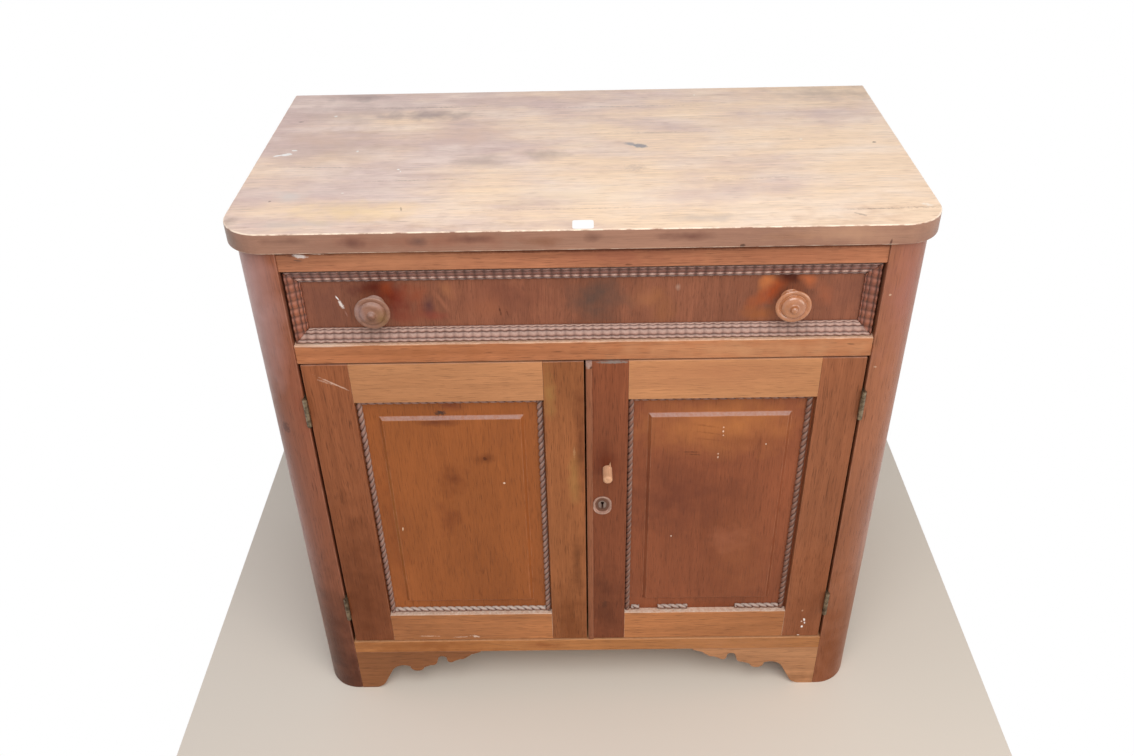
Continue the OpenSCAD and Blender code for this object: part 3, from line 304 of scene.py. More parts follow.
wood = {
    # Old walnut top: what faces up partly bleached and partly a painted sheen, greyer to the back left as
    # painted shade, and scuffed pale
    "topWalnut": {
        "grain": "x", "base": "#9e7460", "pore": "#8a6450", "seed": (0.3, 0.7, 0.1),
        "bleachAndSheen": {"warm": "#f8d9ba", "grey": "#d4b8b0", "scuff": "#fbe8da", "dark": "#bb9884",
                   "paintedShadeToward": (-0.33, 0.42, 0)},
        "patterns": {"patch": (95, 190, 5, 0.58), "scuff": (45, 110, 5, 0.6), "streak": (5, 150, 3, 0.55)},
        "ring": 0.009, "heart": (0.03, 0.16, 0), "tilt": (0.6, 0.9), "rings": 0.16, "fibres": 0.12,
        "pores": 0.35, "worn": "#f9e3cc", "wornAmount": 1.6, "dustAmount": 0, "rough": (0.36, 0.5),
        "shine": 0.3, "coat": 0.1, "markDepth": 1},
    # Polished walnut of the corner posts
    "leftPostWalnut": {**postLook, "base": "#91573f", "seed": (1.3, 0.2, 0.5)},
    "rightPostWalnut": {**postLook, "base": "#9e6447", "seed": (0.6, 1.2, 0.9)},
    # Lighter walnut of the level rails
    "topRailWalnut": {
        "grain": "x", "base": "#ad7152", "seed": (0.2, 0.4, 2.1), "ring": 0.005, "fibres": 0.2},
    "middleRailWalnut": {
        "grain": "x", "base": "#b1714c", "seed": (0.9, 1.4, 0.3), "rings": 0.25, "dust": "#e0bfa6",
        "dustAmount": 0.9, "worn": "#dcae8c", "wornAmount": 0.9},
    "bottomRailWalnut": {
        "grain": "x", "base": "#b17647", "seed": (1.9, 0.3, 1.3), "ring": 0.007, "dust": "#cf9f78",
        "dustAmount": 0.7, "worn": "#cb8f62", "wornAmount": 0.7},
    # Scrolled feet, the left one darker as painted shade
    "leftBracketWalnut": {
        "grain": "x", "base": "#905d3b", "seed": (2.3, 1.1, 0.6), "rough": (0.45, 0.6), "coat": 0.05},
    "rightBracketWalnut": {
        "grain": "x", "base": "#b7835d", "seed": (0.3, 2.1, 1.6), "rough": (0.45, 0.6), "coat": 0.05},
    # Level rails of the doors
    "paleDoorRail": {
        "grain": "x", "base": "#bf855b", "seed": (0.4, 2.2, 0.9), "ring": 0.011, "rings": 0.16,
        "fibres": 0.12, "pores": 0.3, "worn": "#d6a17b", "darker": (0.7, 0.62, 0.55)},
    "footDoorRail": {
        "grain": "x", "base": "#b5774c", "seed": (1.1, 0.9, 1.7), "rings": 0.26, "dust": "#e3cdbc",
        "dustAmount": 1, "worn": "#dfc0a8", "wornAmount": 0.9},
    # Darker stiles and the bead
    "leftHingeStile": {
        "base": "#905536", "seed": (0.7, 0.5, 0.2), "ring": 0.009, "heart": (0.03, 0.05, 0),
        "tilt": (1.2, 2), "rings": 0.26, "fibres": 0.14},
    "leftMeetingStile": {
        "base": "#975c37", "seed": (1.6, 0.1, 0.4), "ring": 0.01, "rings": 0.2, "fibres": 0.14},
    "rightMeetingStile": {
        "base": "#854a30", "seed": (0.5, 1.8, 1.2), "ring": 0.008, "rings": 0.28, "fibres": 0.14},
    "beadWalnut": {"base": "#975e42", "seed": (0.1, 1.3, 0.8), "worn": "#b98468", "wornAmount": 0.8},
    "rightHingeStile": {
        "base": "#955b3d", "seed": (2.1, 0.6, 1.9), "ring": 0.009, "rings": 0.22, "fibres": 0.14},
    # Door panels
    "leftPanelWalnut": {
        **panelLook, "base": "#9a582d", "seed": (0.9, 0.4, 0.7), "heart": (-0.55, -0.8, 0),
        "tilt": (2.2, 1), "bend": 0.02},
    "rightPanelWalnut": {
        **panelLook, "base": "#8b4e33", "seed": (1.4, 1.1, 0.3), "heart": (-0.16, -1.02, 0),
        "tilt": (-1.8, 1.4), "bend": 0.022},
    "sidePanelWalnut": {
        "base": "#7f4a30", "seed": (1.7, 0.8, 0.1), "ring": 0.009, "heart": (0.25, -0.6, 0),
        "tilt": (1.5, 2.4), "rings": 0.4, "bend": 0.018},
    "sideRailWalnut": {
        "grain": "y", "base": "#8a5135", "seed": (0.2, 1.9, 2.4), "ring": 0.007, "rings": 0.4},
    # Crotch veneer of the drawer front
    "crotchVeneer": {
        "base": "#88533d", "seed": (0.6, 0.2, 1.5), "ring": 0.014, "heart": (-0.2, 0.3, 0), "tilt": (4, 3),
        "rings": 0.22, "bend": 0.03, "contrast": 1.3, "fibres": 0.16,
        "patterns": {"broad": (55, 200, 5, 0.6), "pore": (0.7, 12, 1, 0.5)}, "rough": (0.26, 0.38),
        "coat": 0.18, "pores": 0.35},
    # Unpolished pine inside and behind
    "insidePine": {
        **pineLook, "grain": "x", "base": "#ad8559", "seed": (0.4, 0.9, 0.2), "dustAmount": 0.4},
    "backPine": {
        "base": "#8d6845", "pore": "#4b3424", "ring": 0.008, "heart": (0.1, 0.7, 0), "rings": 0.5,
        "pores": 0.25, "worn": "#a88a66", "rough": (0.72, 0.88), "coat": 0, "bump": 0.6,
        "seed": (1.2, 0.3, 0.6), "tilt": (1.5, 2.5), "bend": 0.02, "darker": (0.6, 0.5, 0.42)},
    "sidePine": {
        **pineLook, "grain": "y", "base": "#b0895c", "ring": 0.005, "seed": (0.9, 0.1, 1.2),
        "dustAmount": 0.3},
    # Knobs: the left one has gone dull, the right one keeps its polish
    "leftKnobWood": {
        "grain": "y", "base": "#906652", "ring": 0.004, "rings": 0.15, "fibres": 0.1, "pores": 0.15,
        "patterns": {"broad": (9, 22, 5, 0.6)}, "rough": (0.4, 0.5), "seed": (0.2, 0.5, 0.1),
        "lighter": (1.2, 1.22, 1.3), "darker": (0.6, 0.5, 0.4), "contrast": 1.4, "worn": "#c79d86",
        "dust": "#bba39d", "dustAmount": 0.6, "bump": 0.2, "shine": 0.3},
    "rightKnobWood": {
        "grain": "y", "base": "#b07149", "ring": 0.004, "rings": 0.12, "fibres": 0.08, "pores": 0.1,
        "patterns": {"broad": (18, 40, 4, 0.6)}, "rough": (0.2, 0.3), "shine": 0.5, "coat": 1,
        "coatRough": 0.07, "seed": (0.6, 0.2, 0.4), "worn": "#e0ac8c", "dustAmount": 0, "bump": 0.1},
    # Raw wood of the whittled peg
    "barePegWood": {
        "grain": "y", "base": "#d6a583", "pore": "#8f6848", "ring": 0.003, "rings": 0.35,
        "patterns": {"broad": (10, 20, 5, 0.6)}, "fibres": 0.16, "pores": 0.3, "rough": (0.6, 0.75),
        "coat": 0, "seed": (0.1, 0.1, 0.3), "dustAmount": 0, "darker": (0.7, 0.6, 0.5)}}

# Marks of each wood, the later ones over the earlier
marks = {
    "topWalnut": [
        topFleck(73.5, 18.5, 10.5, 6.6, "#85868c", 0.85, -18, 0.3, 0.6),
        topFleck(62, 24.5, 9, 5.2, "#8f8f94", 0.75, -32),
        topFleck(64, -46, 16, 12, "#c3ab9d", 0.5, 0, 0.8, 0.1),
        topFleck(-356, 10, 8.5, 4.2, "#fdfdfb", 1, 18, 0.35, 0.7),
        topFleck(-366, 6.8, 5, 2, "#fdfdfb", 1, 22, 0.4, 0.7),
        topFleck(-348.9, 22, 4.2, 2.4, "#fdfdfb", 1, 0, 0.4, 0.6),
        topFleck(-318.2, 132.4, 2.6, 3.2, "#fbfbf8"), topFleck(-270.4, 16.2, 1.8, 2.8, "#fbfbf8"),
        topFleck(-213.2, -38.9, 2, 1.6, "#fbfbf8"), topFleck(-210, -45, 0.8, 3, "#fbfbf8", 0.6, 20),
        topFleck(-268, -101, 2.2, 1.4, "#f7f2ea", 0.7),
        topFleck(-360.5, 115, 4.2, 2.4, "#7f6458", 0.6, 0, 0.5),
        topFleck(-346.2, -119.6, 2, 2.2, "#6f4c3c", 0.6, 0, 0.5),
        topFleck(-196.3, -143.6, 1.2, 6.5, "#7d6254", 0.6, 12, 0.5),
        topFleck(356.6, 17.7, 2.6, 2.4, "#5f4438", 0.8, 0, 0.5),
        topFleck(270.7, 30.8, 2.4, 1.6, "#fdf6ea", 0.8, 0, 0.5),
        topFleck(155.4, 187.2, 1.6, 2.4, "#fdf6ea", 0.7, 0, 0.5),
        topFleck(325, -161.5, 60, 1.6, "#8a6f60", 0.7, 0.4, 0.8, 0.1),
        topFleck(360, -159, 30, 1.2, "#8a6f60", 0.6, -0.5, 0.8, 0.1),
        topFleck(296.8, -173.7, 7.5, 2.4, "#a79183", 0.6, -30, 0.8),
        topFleck(-205, 158, 85, 2.2, "#8a7370", 0.6, 0.5, 0.9, 0),
        topFleck(-190, -70, 70, 1.6, "#a48b7c", 0.6, 1.5, 0.9, 0),
        topFleck(-300, -30, 50, 1.6, "#94807a", 0.6, -3, 0.9, 0),
        topFleck(50, 150, 120, 2, "#94807a", 0.5, 0.3, 0.9, 0),
        topFleck(100, 60, 100, 1.8, "#a98e80", 0.5, 0.2, 0.9, 0),
        topFleck(200, -80, 80, 1.6, "#b09484", 0.5, 0.5, 0.9, 0),
        topFleck(-20, -150, 100, 1.6, "#b89a86", 0.5, 0.2, 0.9, 0),
        topStain(-270, 140, 130, 50, "#b29b93", 0.45), topStain(-300, 20, 110, 80, "#c3a591", 0.45),
        topStain(-330, 60, 50, 30, "#d6b49e", 0.5), topStain(-140, 60, 80, 35, "#dcb9a2", 0.5),
        topStain(205, 85, 90, 30, "#e2bfa4", 0.5), topStain(-10, -115, 110, 28, "#f6dcbc", 0.5),
        topFleck(374, -152.6, 7.5, 4, "#fbeee0", 0.7, -20, 1, 0.2),
        topStain(-324.4, -108.7, 28, 18, "#d5c9c2", 0.7), topStain(-300, -177, 55, 13, "#cbbab0", 0.7),
        topStain(-195, 130, 75, 20, "#95807e", 0.7), topStain(-295.3, 200, 50, 20, "#94807b", 0.65),
        topStain(-44.1, -4.2, 35, 20, "#a99387", 0.65), topStain(-115.2, -18.9, 40, 26, "#b39d92"),
        topStain(330, 185, 100, 35, "#b09c90"), topStain(125.1, -177, 60, 12, "#c6b3a6"),
        topStain(131.6, -123.6, 70, 35, "#dcbfb2"), topStain(-249, -148.9, 80, 30, "#f3d29c"),
        stainAndPaintedLight(-382, 735, 22, 16, "#75604f", 0.7), stainAndPaintedLight(-160, 736, 160, 12, "#8f553f", 0.5),
        stainAndPaintedLight(-312, 738.5, 36, 5.2, "#734d3e", 0.85), stainAndPaintedLight(-243, 735, 17, 7.5, "#6f463a", 0.8),
        stainAndPaintedLight(-172, 736.5, 13, 7, "#63463e", 0.8), stainAndPaintedLight(-116, 738, 26, 6, "#6f463a", 0.85),
        stainAndPaintedLight(-45, 734, 30, 6, "#84573f", 0.7), stainAndPaintedLight(13, 737.5, 13, 7, "#6f4a3c", 0.8),
        stainAndPaintedLight(111, 737, 34, 7, "#6f463a", 0.85), stainAndPaintedLight(225, 735, 40, 6, "#96694f"),
        stainAndPaintedLight(290, 737, 100, 14, "#bd9173"), fleck(326, 726, 1.4, 5, "#4f2a1e", 0.8, 8),
        fleck(170.1, 725, 3, 2.6, "#3f241a", 0.8, 0, 0.5),
        {**topFleck(1.9, -187, 11.4, 10.1, "#fdfdfb", 1, 0, 0.03, 0.95), "square": True}],
    "leftPostWalnut": [
        # A dark spot; a painted sheen as pale pink haze high up; an orange streak; the foot darker as
        # painted shade
        fleck(-360, 480, 6, 9, "#4c2419", 0.65, 0, 0.8), stainAndPaintedLight(-378, 665, 50, 170, "#ddb0ab", 0.75, 0, 0.12),
        stainAndPaintedLight(-335, 520, 14, 100, "#96533a", 0.5), stainAndPaintedLight(-360, 20, 100, 240, "#441b08", 0.95, 0, 0.3)],
    "rightPostWalnut": [
        # Painted shade: the post darker towards its foot
        stainAndPaintedLight(360, 50, 60, 200, "#7b3d12", 0.85, 0, 0.3), stainAndPaintedLight(360, 660, 45, 120, "#a66b60", 0.6, 0, 0.3),
        fleck(337.7, 658, 1.6, 1.8, "#d9b79c", 0.7, 0, 0.5),
        fleck(335.6, 562, 2.2, 1.4, "#d9b79c", 0.5, 0, 0.5)],
    "topRailWalnut": [
        stainAndPaintedLight(30, 710, 120, 20, "#8f5140", 0.5), stainAndPaintedLight(230, 710, 120, 20, "#9c5c40", 0.4),
        # Painted shadow of the top board along the top of the rail, then a painted shadow under the chip
        fleck(0, 721.6, 800, 6.2, "#55291c", 0.8, 0, 0.15, 0.6),
        fleck(-304.5, 710.8, 7.5, 1.1, "#5f453c", 0.7, 6, 0.6),
        fleck(-301.5, 716.2, 8.5, 2.8, "#f0e6e2", 0.95, 9, 0.6),
        fleck(-284, 719, 13, 1, "#e5cdbd", 0.8, 5, 0.8), stainAndPaintedLight(-200, 709, 120, 20, "#c48560"),
        fleck(50, 700, 6, 1.4, "#57301f", 0.6, 0, 0.5)],
    "middleRailWalnut": [
        fleck(304, 592.8, 6, 1.2, "#3a1d12", 0.8, 6), stainAndPaintedLight(-170, 588, 160, 20, "#a3623a", 0.45),
        stainAndPaintedLight(190, 588, 220, 20, "#cb956c"), stainAndPaintedLight(-290, 600.8, 50, 2.2, "#dcc6b8", 0.9)],
    "bottomRailWalnut": [
        # Painted shade and light: the left end darker, the right end lighter
        stainAndPaintedLight(-220, 88, 160, 30, "#96572a", 0.65), stainAndPaintedLight(-60, 88, 30, 6, "#8a4a26", 0.5),
        stainAndPaintedLight(200, 88, 140, 30, "#bd8259", 0.5)],
    "rightBracketWalnut": [stainAndPaintedLight(320, 12, 60, 12, "#6b4026")],
    "paleDoorRail": [stainAndPaintedLight(140, 555, 150, 30, "#b27652", 0.65, 0, 0.3)],
    "footDoorRail": [
        fleck(-222, 108, 16, 1.2, "#dfbfa8", 0.6, 1, 0.9),
        fleck(-175, 105.5, 12, 1.2, "#d9b9a5", 0.6, -2, 0.9),
        fleck(-156, 106.8, 8, 2.2, "#e6cdbc", 0.8, 14, 0.9)],
    "leftHingeStile": [
        fleck(-290.5, 547.4, 23.5, 1.1, "#dcb9a4", 0.7, 31, 0.5),
        fleck(-300, 550.2, 12, 1.6, "#d8b6a2", 0.5, 24, 0.9, 0.1),
        # Painted shade: the stile darker towards its foot
        stainAndPaintedLight(-300, 170, 60, 240, "#5f2c10", 0.7, 0, 0.3)],
    "leftMeetingStile": [
        stainAndPaintedLight(-40, 530, 12, 45, "#a98148", 0.5), stainAndPaintedLight(-12, 400, 10, 60, "#a98148", 0.45),
        stainAndPaintedLight(-4, 460, 10, 100, "#63321b", 0.75), stainAndPaintedLight(-10, 250, 10, 80, "#5a3019"),
        # Last on this line, painted shade: the stile darker towards its foot
        fleck(-12, 440, 1.6, 10, "#c89a6e", 0.4, 0, 0.8), stainAndPaintedLight(-20, 130, 30, 100, "#6b3513")],
    "rightMeetingStile": [
        stainAndPaintedLight(28, 425, 20, 30, "#5c2416", 0.55), fleck(35, 572.5, 20, 2.2, "#8b7f78", 0.9, 0, 0.5, 0.6),
        # Last on this line, painted shade: the stile darker towards its foot
        fleck(26, 170, 6, 9, "#3f2a20", 0.5, 0, 0.7), stainAndPaintedLight(30, 150, 40, 110, "#552b1b")],
    "beadWalnut": [
        fleck(6, 571.5, 7, 6, "#ad8f84", 0.85, 0, 0.8), fleck(9.5, 566.5, 2, 1.8, "#3f2a22", 0.8, 0, 0.6)],
    "rightHingeStile": [
        # First, painted shade: the stile darker towards its foot; then white spots
        stainAndPaintedLight(310, 160, 60, 180, "#773f20", 0.5, 0, 0.3), fleck(303, 133.5, 1.7, 3.4, "#faf4ef", 1, -10),
        fleck(304.2, 127, 1.4, 2.2, "#faf4ef", 0.9), fleck(299.8, 130, 1.2, 1.8, "#f0dccb"),
        fleck(301.2, 119.5, 1.8, 2.6, "#fdf8f2", 1), fleck(297.8, 102.2, 2, 1, "#faf0e6", 0.9),
        fleck(298.6, 151.9, 1.4, 1.8, "#c9a083")],
    "leftPanelWalnut": [
        stainAndPaintedLight(-160, 507, 22, 11, "#6b2f22", 0.8), stainAndPaintedLight(-178, 485, 30, 8, "#5e2a1a", 0.8),
        fleck(-172, 496, 7.5, 4, "#3b2f2c", 0.85, -6, 0.7),
        fleck(-122.5, 426.7, 3.4, 3, "#2c120a", 0.95, 0, 0.5), stainAndPaintedLight(-122.5, 426.7, 16, 10, "#6a3417", 0.75),
        stainAndPaintedLight(-165, 395, 22, 32, "#6a3217", 0.7), stainAndPaintedLight(-175, 325, 18, 30, "#70351a"),
        # A darker band by the field's left edge, and a painted highlight as a light line along it
        stainAndPaintedLight(-250, 300, 20, 160, "#87441f", 0.4), fleck(-244.5, 335, 3.5, 165, "#b9763f", 0.6, 0, 0.3, 0.3),
        stainAndPaintedLight(-100, 470, 30, 40, "#8a4f2c", 0.4), fleck(-237, 310.3, 1, 4, "#efcfae", 0.8, 8),
        fleck(-101, 387, 1.6, 1.6, "#f2dcc6", 0.8)],
    "rightPanelWalnut": [
        stainAndPaintedLight(165, 475, 120, 55, "#bd7642", 0.8, 0, 0.3), stainAndPaintedLight(120, 360, 85, 85, "#6b3828", 0.7),
        fleck(148, 474, 20, 1.6, "#6b3420", 0.4, 12, 1, 0),
        fleck(152, 463, 22, 1.4, "#6b3420", 0.4, 10, 1, 0),
        fleck(150, 453, 20, 1.6, "#6b3420", 0.4, 9, 1, 0),
        fleck(131, 433.5, 15, 1.4, "#43201a", 0.6, 2, 0.8, 0.1),
        fleck(134, 429.5, 11, 1.4, "#43201a", 0.6, 4, 0.8, 0.1), stainAndPaintedLight(200, 450, 50, 12, "#7a3f28", 0.4),
        stainAndPaintedLight(215, 446, 4, 20, "#5c2b1a", 0.5), stainAndPaintedLight(200, 250, 50, 100, "#9c5c3a", 0.5),
        fleck(169, 471.5, 1, 1.4, "#f0d2bc"), fleck(169, 465, 1.3, 2, "#f6dcc8", 0.9),
        fleck(169.4, 459, 1, 1.2, "#f0d2bc"), fleck(165, 430, 1, 1.4, "#f0d2bc"),
        fleck(165, 424.5, 1.2, 2.2, "#f0d2bc"), fleck(222.4, 444.4, 1.2, 1.2, "#f0dccb", 0.8),
        fleck(112.4, 291.7, 1.2, 1.4, "#f0dccb", 0.8), stainAndPaintedLight(185, 285, 30, 30, "#a8664a", 0.45)],
    "crotchVeneer": [
        stainAndPaintedLight(-295, 650, 50, 50, "#774738", 0.7), stainAndPaintedLight(300, 650, 50, 50, "#774738", 0.5),
        stainAndPaintedLight(-80, 655, 80, 40, "#723f30"), stainAndPaintedLight(-228, 670, 36, 18, "#5a221a", 0.9),
        stainAndPaintedLight(-205, 650, 30, 26, "#74291a", 0.9, 20), stainAndPaintedLight(-190, 632, 34, 14, "#833a28", 0.6, -15),
        stainAndPaintedLight(-216.5, 671, 10, 14, "#a04c2a", 0.6, 20), stainAndPaintedLight(-187, 661, 20, 18, "#96482a", 0.6, 30),
        stainAndPaintedLight(-172, 646, 10, 16, "#523032", 0.75), stainAndPaintedLight(-156, 648, 4, 22, "#ad6c50", 0.6, -28),
        stainAndPaintedLight(-150, 665, 10, 16, "#ab6d48", 0.6, -35), stainAndPaintedLight(-162, 632, 22, 7, "#8f4032", 0.5),
        stainAndPaintedLight(-105, 640, 30, 20, "#9f6043"), fleck(-92.5, 637, 1.2, 8, "#3b1a11", 0.7, -8, 0.7, 0.2),
        fleck(-84.5, 634, 1, 7, "#4b2318", 0.6, -14, 0.7, 0.2), stainAndPaintedLight(18, 650, 42, 34, "#54423a", 0.85),
        stainAndPaintedLight(70, 652, 24, 20, "#a86b48", 0.5, 30), stainAndPaintedLight(90, 640, 20, 30, "#9a6038", 0.5),
        stainAndPaintedLight(106, 664, 4, 7, "#c0a594"), stainAndPaintedLight(206, 669, 13, 18, "#c97640", 0.95, 35),
        stainAndPaintedLight(211, 658, 12, 26, "#bb5529", 0.95, 35), stainAndPaintedLight(196, 645, 13, 18, "#ab572d", 0.7, 35),
        stainAndPaintedLight(226, 676, 20, 12, "#46201a", 0.95), stainAndPaintedLight(251, 671, 10, 16, "#c26a3e", 0.9, -35),
        stainAndPaintedLight(268, 655, 12, 22, "#a85f40", 0.6, -20), stainAndPaintedLight(200, 628, 30, 12, "#a9602f"),
        fleck(-272.8, 656, 1, 4, "#fbf2ee", 1, -30, 0.35, 0.6),
        fleck(-270, 648.5, 2.4, 7.8, "#f3e6de", 0.95, -20, 0.5, 0.4),
        stainAndPaintedLight(-266, 636.5, 1.2, 6, "#b08174", 0.7, -16)],
    "leftKnobWood": [
        stainAndPaintedLight(-222.5, 643, 8, 12, "#87653a", 0.75), stainAndPaintedLight(-246, 652, 8, 14, "#b09594"),
        fleck(-232, 648.2, 5.2, 5.2, "#6b4434", 0.7, 0, 0.3)],
    "barePegWood": [stainAndPaintedLight(31, 404, 5, 5, "#c98f52")]}

metal = {
    # Hinges, screws and lock bolt, then the lock case and door bolt
    "agedBrass": {"base": "#8f7f68", "tarnish": "#463729", "amount": 0.9, "rough": 0.42, "metallic": 0.8},
    "darkIron": {"base": "#57504a", "tarnish": "#3a2c24", "amount": 1, "rough": 0.6, "metallic": 0.8},
    # Keyhole plate: a pale rim round a dark sunk part
    "escutcheonMetal": {
        "base": "#b7aa9e", "tarnish": "#6d4c3c", "amount": 0.45, "rough": 0.42, "metallic": 0.35,
        "at": (0.0225, faceY, 0.352), "size": (0.0118, 0.05, 0.0153),
        "zones": [(0, "#8f7e76"), (1, "#c7a292"), (0.52, "#8f7d74"), (0.6, "#5d3d30"),
                  (0.85, "#7d5240"), (0.91, "#bd9a8b")]}}

moulding = {
    # Ripples round the drawer: the lower one under dust, the upper one darker, the ends redder
    "rippleDusty": {
        "base": "#8f6355", "other": "#a3776a", "dust": "#cbac9e", "dustAmount": 0.9, "dustFrom": -0.1,
        "grime": 0.82, "dirt": "#3a1c15", "open": 1, "rough": 0.35, "coat": 0.15},
    "rippleDark": {
        "base": "#835246", "other": "#946457", "dust": "#dfbdae", "dustAmount": 1, "dustFrom": 0.1,
        "grime": 0.8, "dirt": "#2f1711", "open": 1, "rough": 0.3, "coat": 0.35},
    "rippleEnd": {
        "base": "#a35f43", "other": "#894e3c", "dust": "#c09080", "dustAmount": 0.5, "dustFrom": 0,
        "grime": 0.85, "dirt": "#3a1c14", "open": 1, "rough": 0.32, "coat": 0.3},
    # Ropes round the panels, the right door's browner
    "ropeDusty": {
        "base": "#8b6458", "other": "#a07a6d", "dust": "#d0c5bb", "dustAmount": 0.9, "dustFrom": 0.1,
        "grime": 0.85, "dirt": "#3d1d15", "open": 0.4, "rough": 0.4, "coat": 0.15}}
moulding["ropeBrown"] = {**moulding["ropeDusty"], "base": "#7d5242", "other": "#8d6353", "dustAmount": 0.75}

finish = {name: woodMaterial(name, look, marks.get(name, ())) for name, look in wood.items()}
finish.update({name: metalMaterial(name, look) for name, look in metal.items()})
finish.update({name: mouldingMaterial(name, look) for name, look in moulding.items()})
print("materials made:", len(finish))


def addObject(name, bm, material, body, replaced):
    mesh = bpy.data.meshes.new(name)
    bm.to_mesh(mesh)
    bm.free()
    mesh.materials.append(finish[material])
    piece = bpy.data.objects.new(name, mesh)
    scene.collection.objects.link(piece)
    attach(piece, body)
    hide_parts(*replaced)
    return piece


# A copy of a solid with its arrises eased, if longer than the shortest
def easedCopy(node, body, material, ease, shortest=0.004, segments=3):
    flat, bent, sharp = math.radians(1), math.radians(32), math.radians(40)
    bm = bmesh.new()
    bm.from_mesh(nodes[node].data)
    bmesh.ops.remove_doubles(bm, verts=bm.verts, dist=1e-6)
    bmesh.ops.dissolve_limit(bm, angle_limit=flat, verts=bm.verts, edges=bm.edges)
    worn = bm.faces.layers.float.new("worn")
    edges = [e for e in bm.edges
             if e.is_manifold and e.calc_face_angle(0) > bent and e.calc_length() > shortest]
    made = bmesh.ops.bevel(bm, geom=edges, offset=ease, offset_type="OFFSET", affect="EDGES",
                           segments=segments, profile=0.5, material=-1, clamp_overlap=True)
    for face in made["faces"]:
        face[worn] = 1.0
    for face in bm.faces:
        face.smooth = True
    for edge in bm.edges:
        if edge.is_manifold and edge.calc_face_angle(0) > sharp:
            edge.smooth = False
    piece = addObject(node + "_eased", bm, material, body, (node,))
    even = piece.modifiers.new("even", "WEIGHTED_NORMAL")
    even.keep_sharp = True


# Body, slot, and each node's material and how far its arrises are eased
sides = ("left", "right")
easedPieces = [
    ("case", "top_walnut", [("top_board", "topWalnut", 0.0012)]),
    ("case", "post_walnut", [
        (side + end, side + "PostWalnut", 0.0012)
        for end in ("_front_post", "_rear_post") for side in sides]),
    ("case", "panel_walnut", [(side + "_side_panel", "sidePanelWalnut", 0.0006) for side in sides]),
    ("case", "rail_walnut", [(side + "_side_rails", "sideRailWalnut", 0.0007) for side in sides]),
    ("case", "rail_walnut", [
        ("top_rail", "topRailWalnut", 0.0008), ("middle_rail", "middleRailWalnut", 0.0012),
        ("bottom_rail", "bottomRailWalnut", 0.0008)]),
    ("case", "inside_pine", [
        ("glue_blocks", "insidePine", 0.0015), ("back_rails", "insidePine", 0.001),
        ("back_boards", "backPine", 0.0008), ("cabinet_floor", "insidePine", 0.0008),
        ("floor_cleats", "sidePine", 0.001), ("drawer_runners", "sidePine", 0.0008),
        ("drawer_guides", "sidePine", 0.001), ("drawer_kickers", "sidePine", 0.001),
        ("drawer_stops", "insidePine", 0.0008)]),
    ("drawer", "crotch_veneer", [("drawer_front", "crotchVeneer", 0.0006)]),
    ("drawer", "inside_pine", [
        ("drawer_left_side", "sidePine", 0.001), ("drawer_right_side", "sidePine", 0.001),
        ("drawer_back", "insidePine", 0.001), ("drawer_bottom", "insidePine", 0.0005)])]
for side in sides:
    door = side + "_door"
    easedPieces += [
        (door, "stile_walnut", [(door + "_hinge_stile", side + "HingeStile", 0.0008),
                                (door + "_meeting_stile", side + "MeetingStile", 0.0008)]),
        (door, "rail_walnut", [(door + "_top_rail", "paleDoorRail", 0.0005),
                               (door + "_bottom_rail", "footDoorRail", 0.0005)]),
        (door, "panel_walnut", [(door + "_panel", side + "PanelWalnut", 0.0006)])]
easedPieces.append(("right_door", "stile_walnut", [("meeting_bead", "beadWalnut", 0.0006)]))

for body, slotName, pieces in easedPieces:
    for node, material, ease in pieces:
        easedCopy(node, body, material, ease)
for side in sides:
    easedCopy(side + "_foot_bracket", "case", side + "BracketWalnut", 0.0006, 0.0008, 2)
easedCopy("escutcheon", "right_door", "escutcheonMetal", 0.0003, 0.0006, 2)
easedCopy("lock_case", "right_door", "darkIron", 0.0003, 0.0006, 2)
print("eased pieces made")

# Small metal pieces keep their solids
keptSolids = {
    "agedBrass": ["left_case_leaves", "right_case_leaves", "hinge_pins", "case_hinge_screws", "lock_bolt",
                  "left_door_leaves", "right_door_leaves", "left_door_screws", "right_door_screws"],
    "darkIron": ["bolt_plate", "door_bolt"]}
for material, names in keptSolids.items():
    for name in names:
        for slot in nodes[name].material_slots:
            slot.material = finish[material]

# Ridges go from the outer edge inwards, as shares of the width. Outer, inner and back are depths
# behind the rails' face
ripple = {"width": 0.016, "ridges": [0.2, 0.4, 0.26, 0.14], "outer": 0.0028, "inner": 0.01,
          "wave": 0.0105, "deep": 0.0006, "groove": 0.0015, "back": 0.0119, "lip": 0.0012,
          "steps": 7, "perWave": 10, "round": 0.55, "uneven": 0.3, "least": 0.0002}


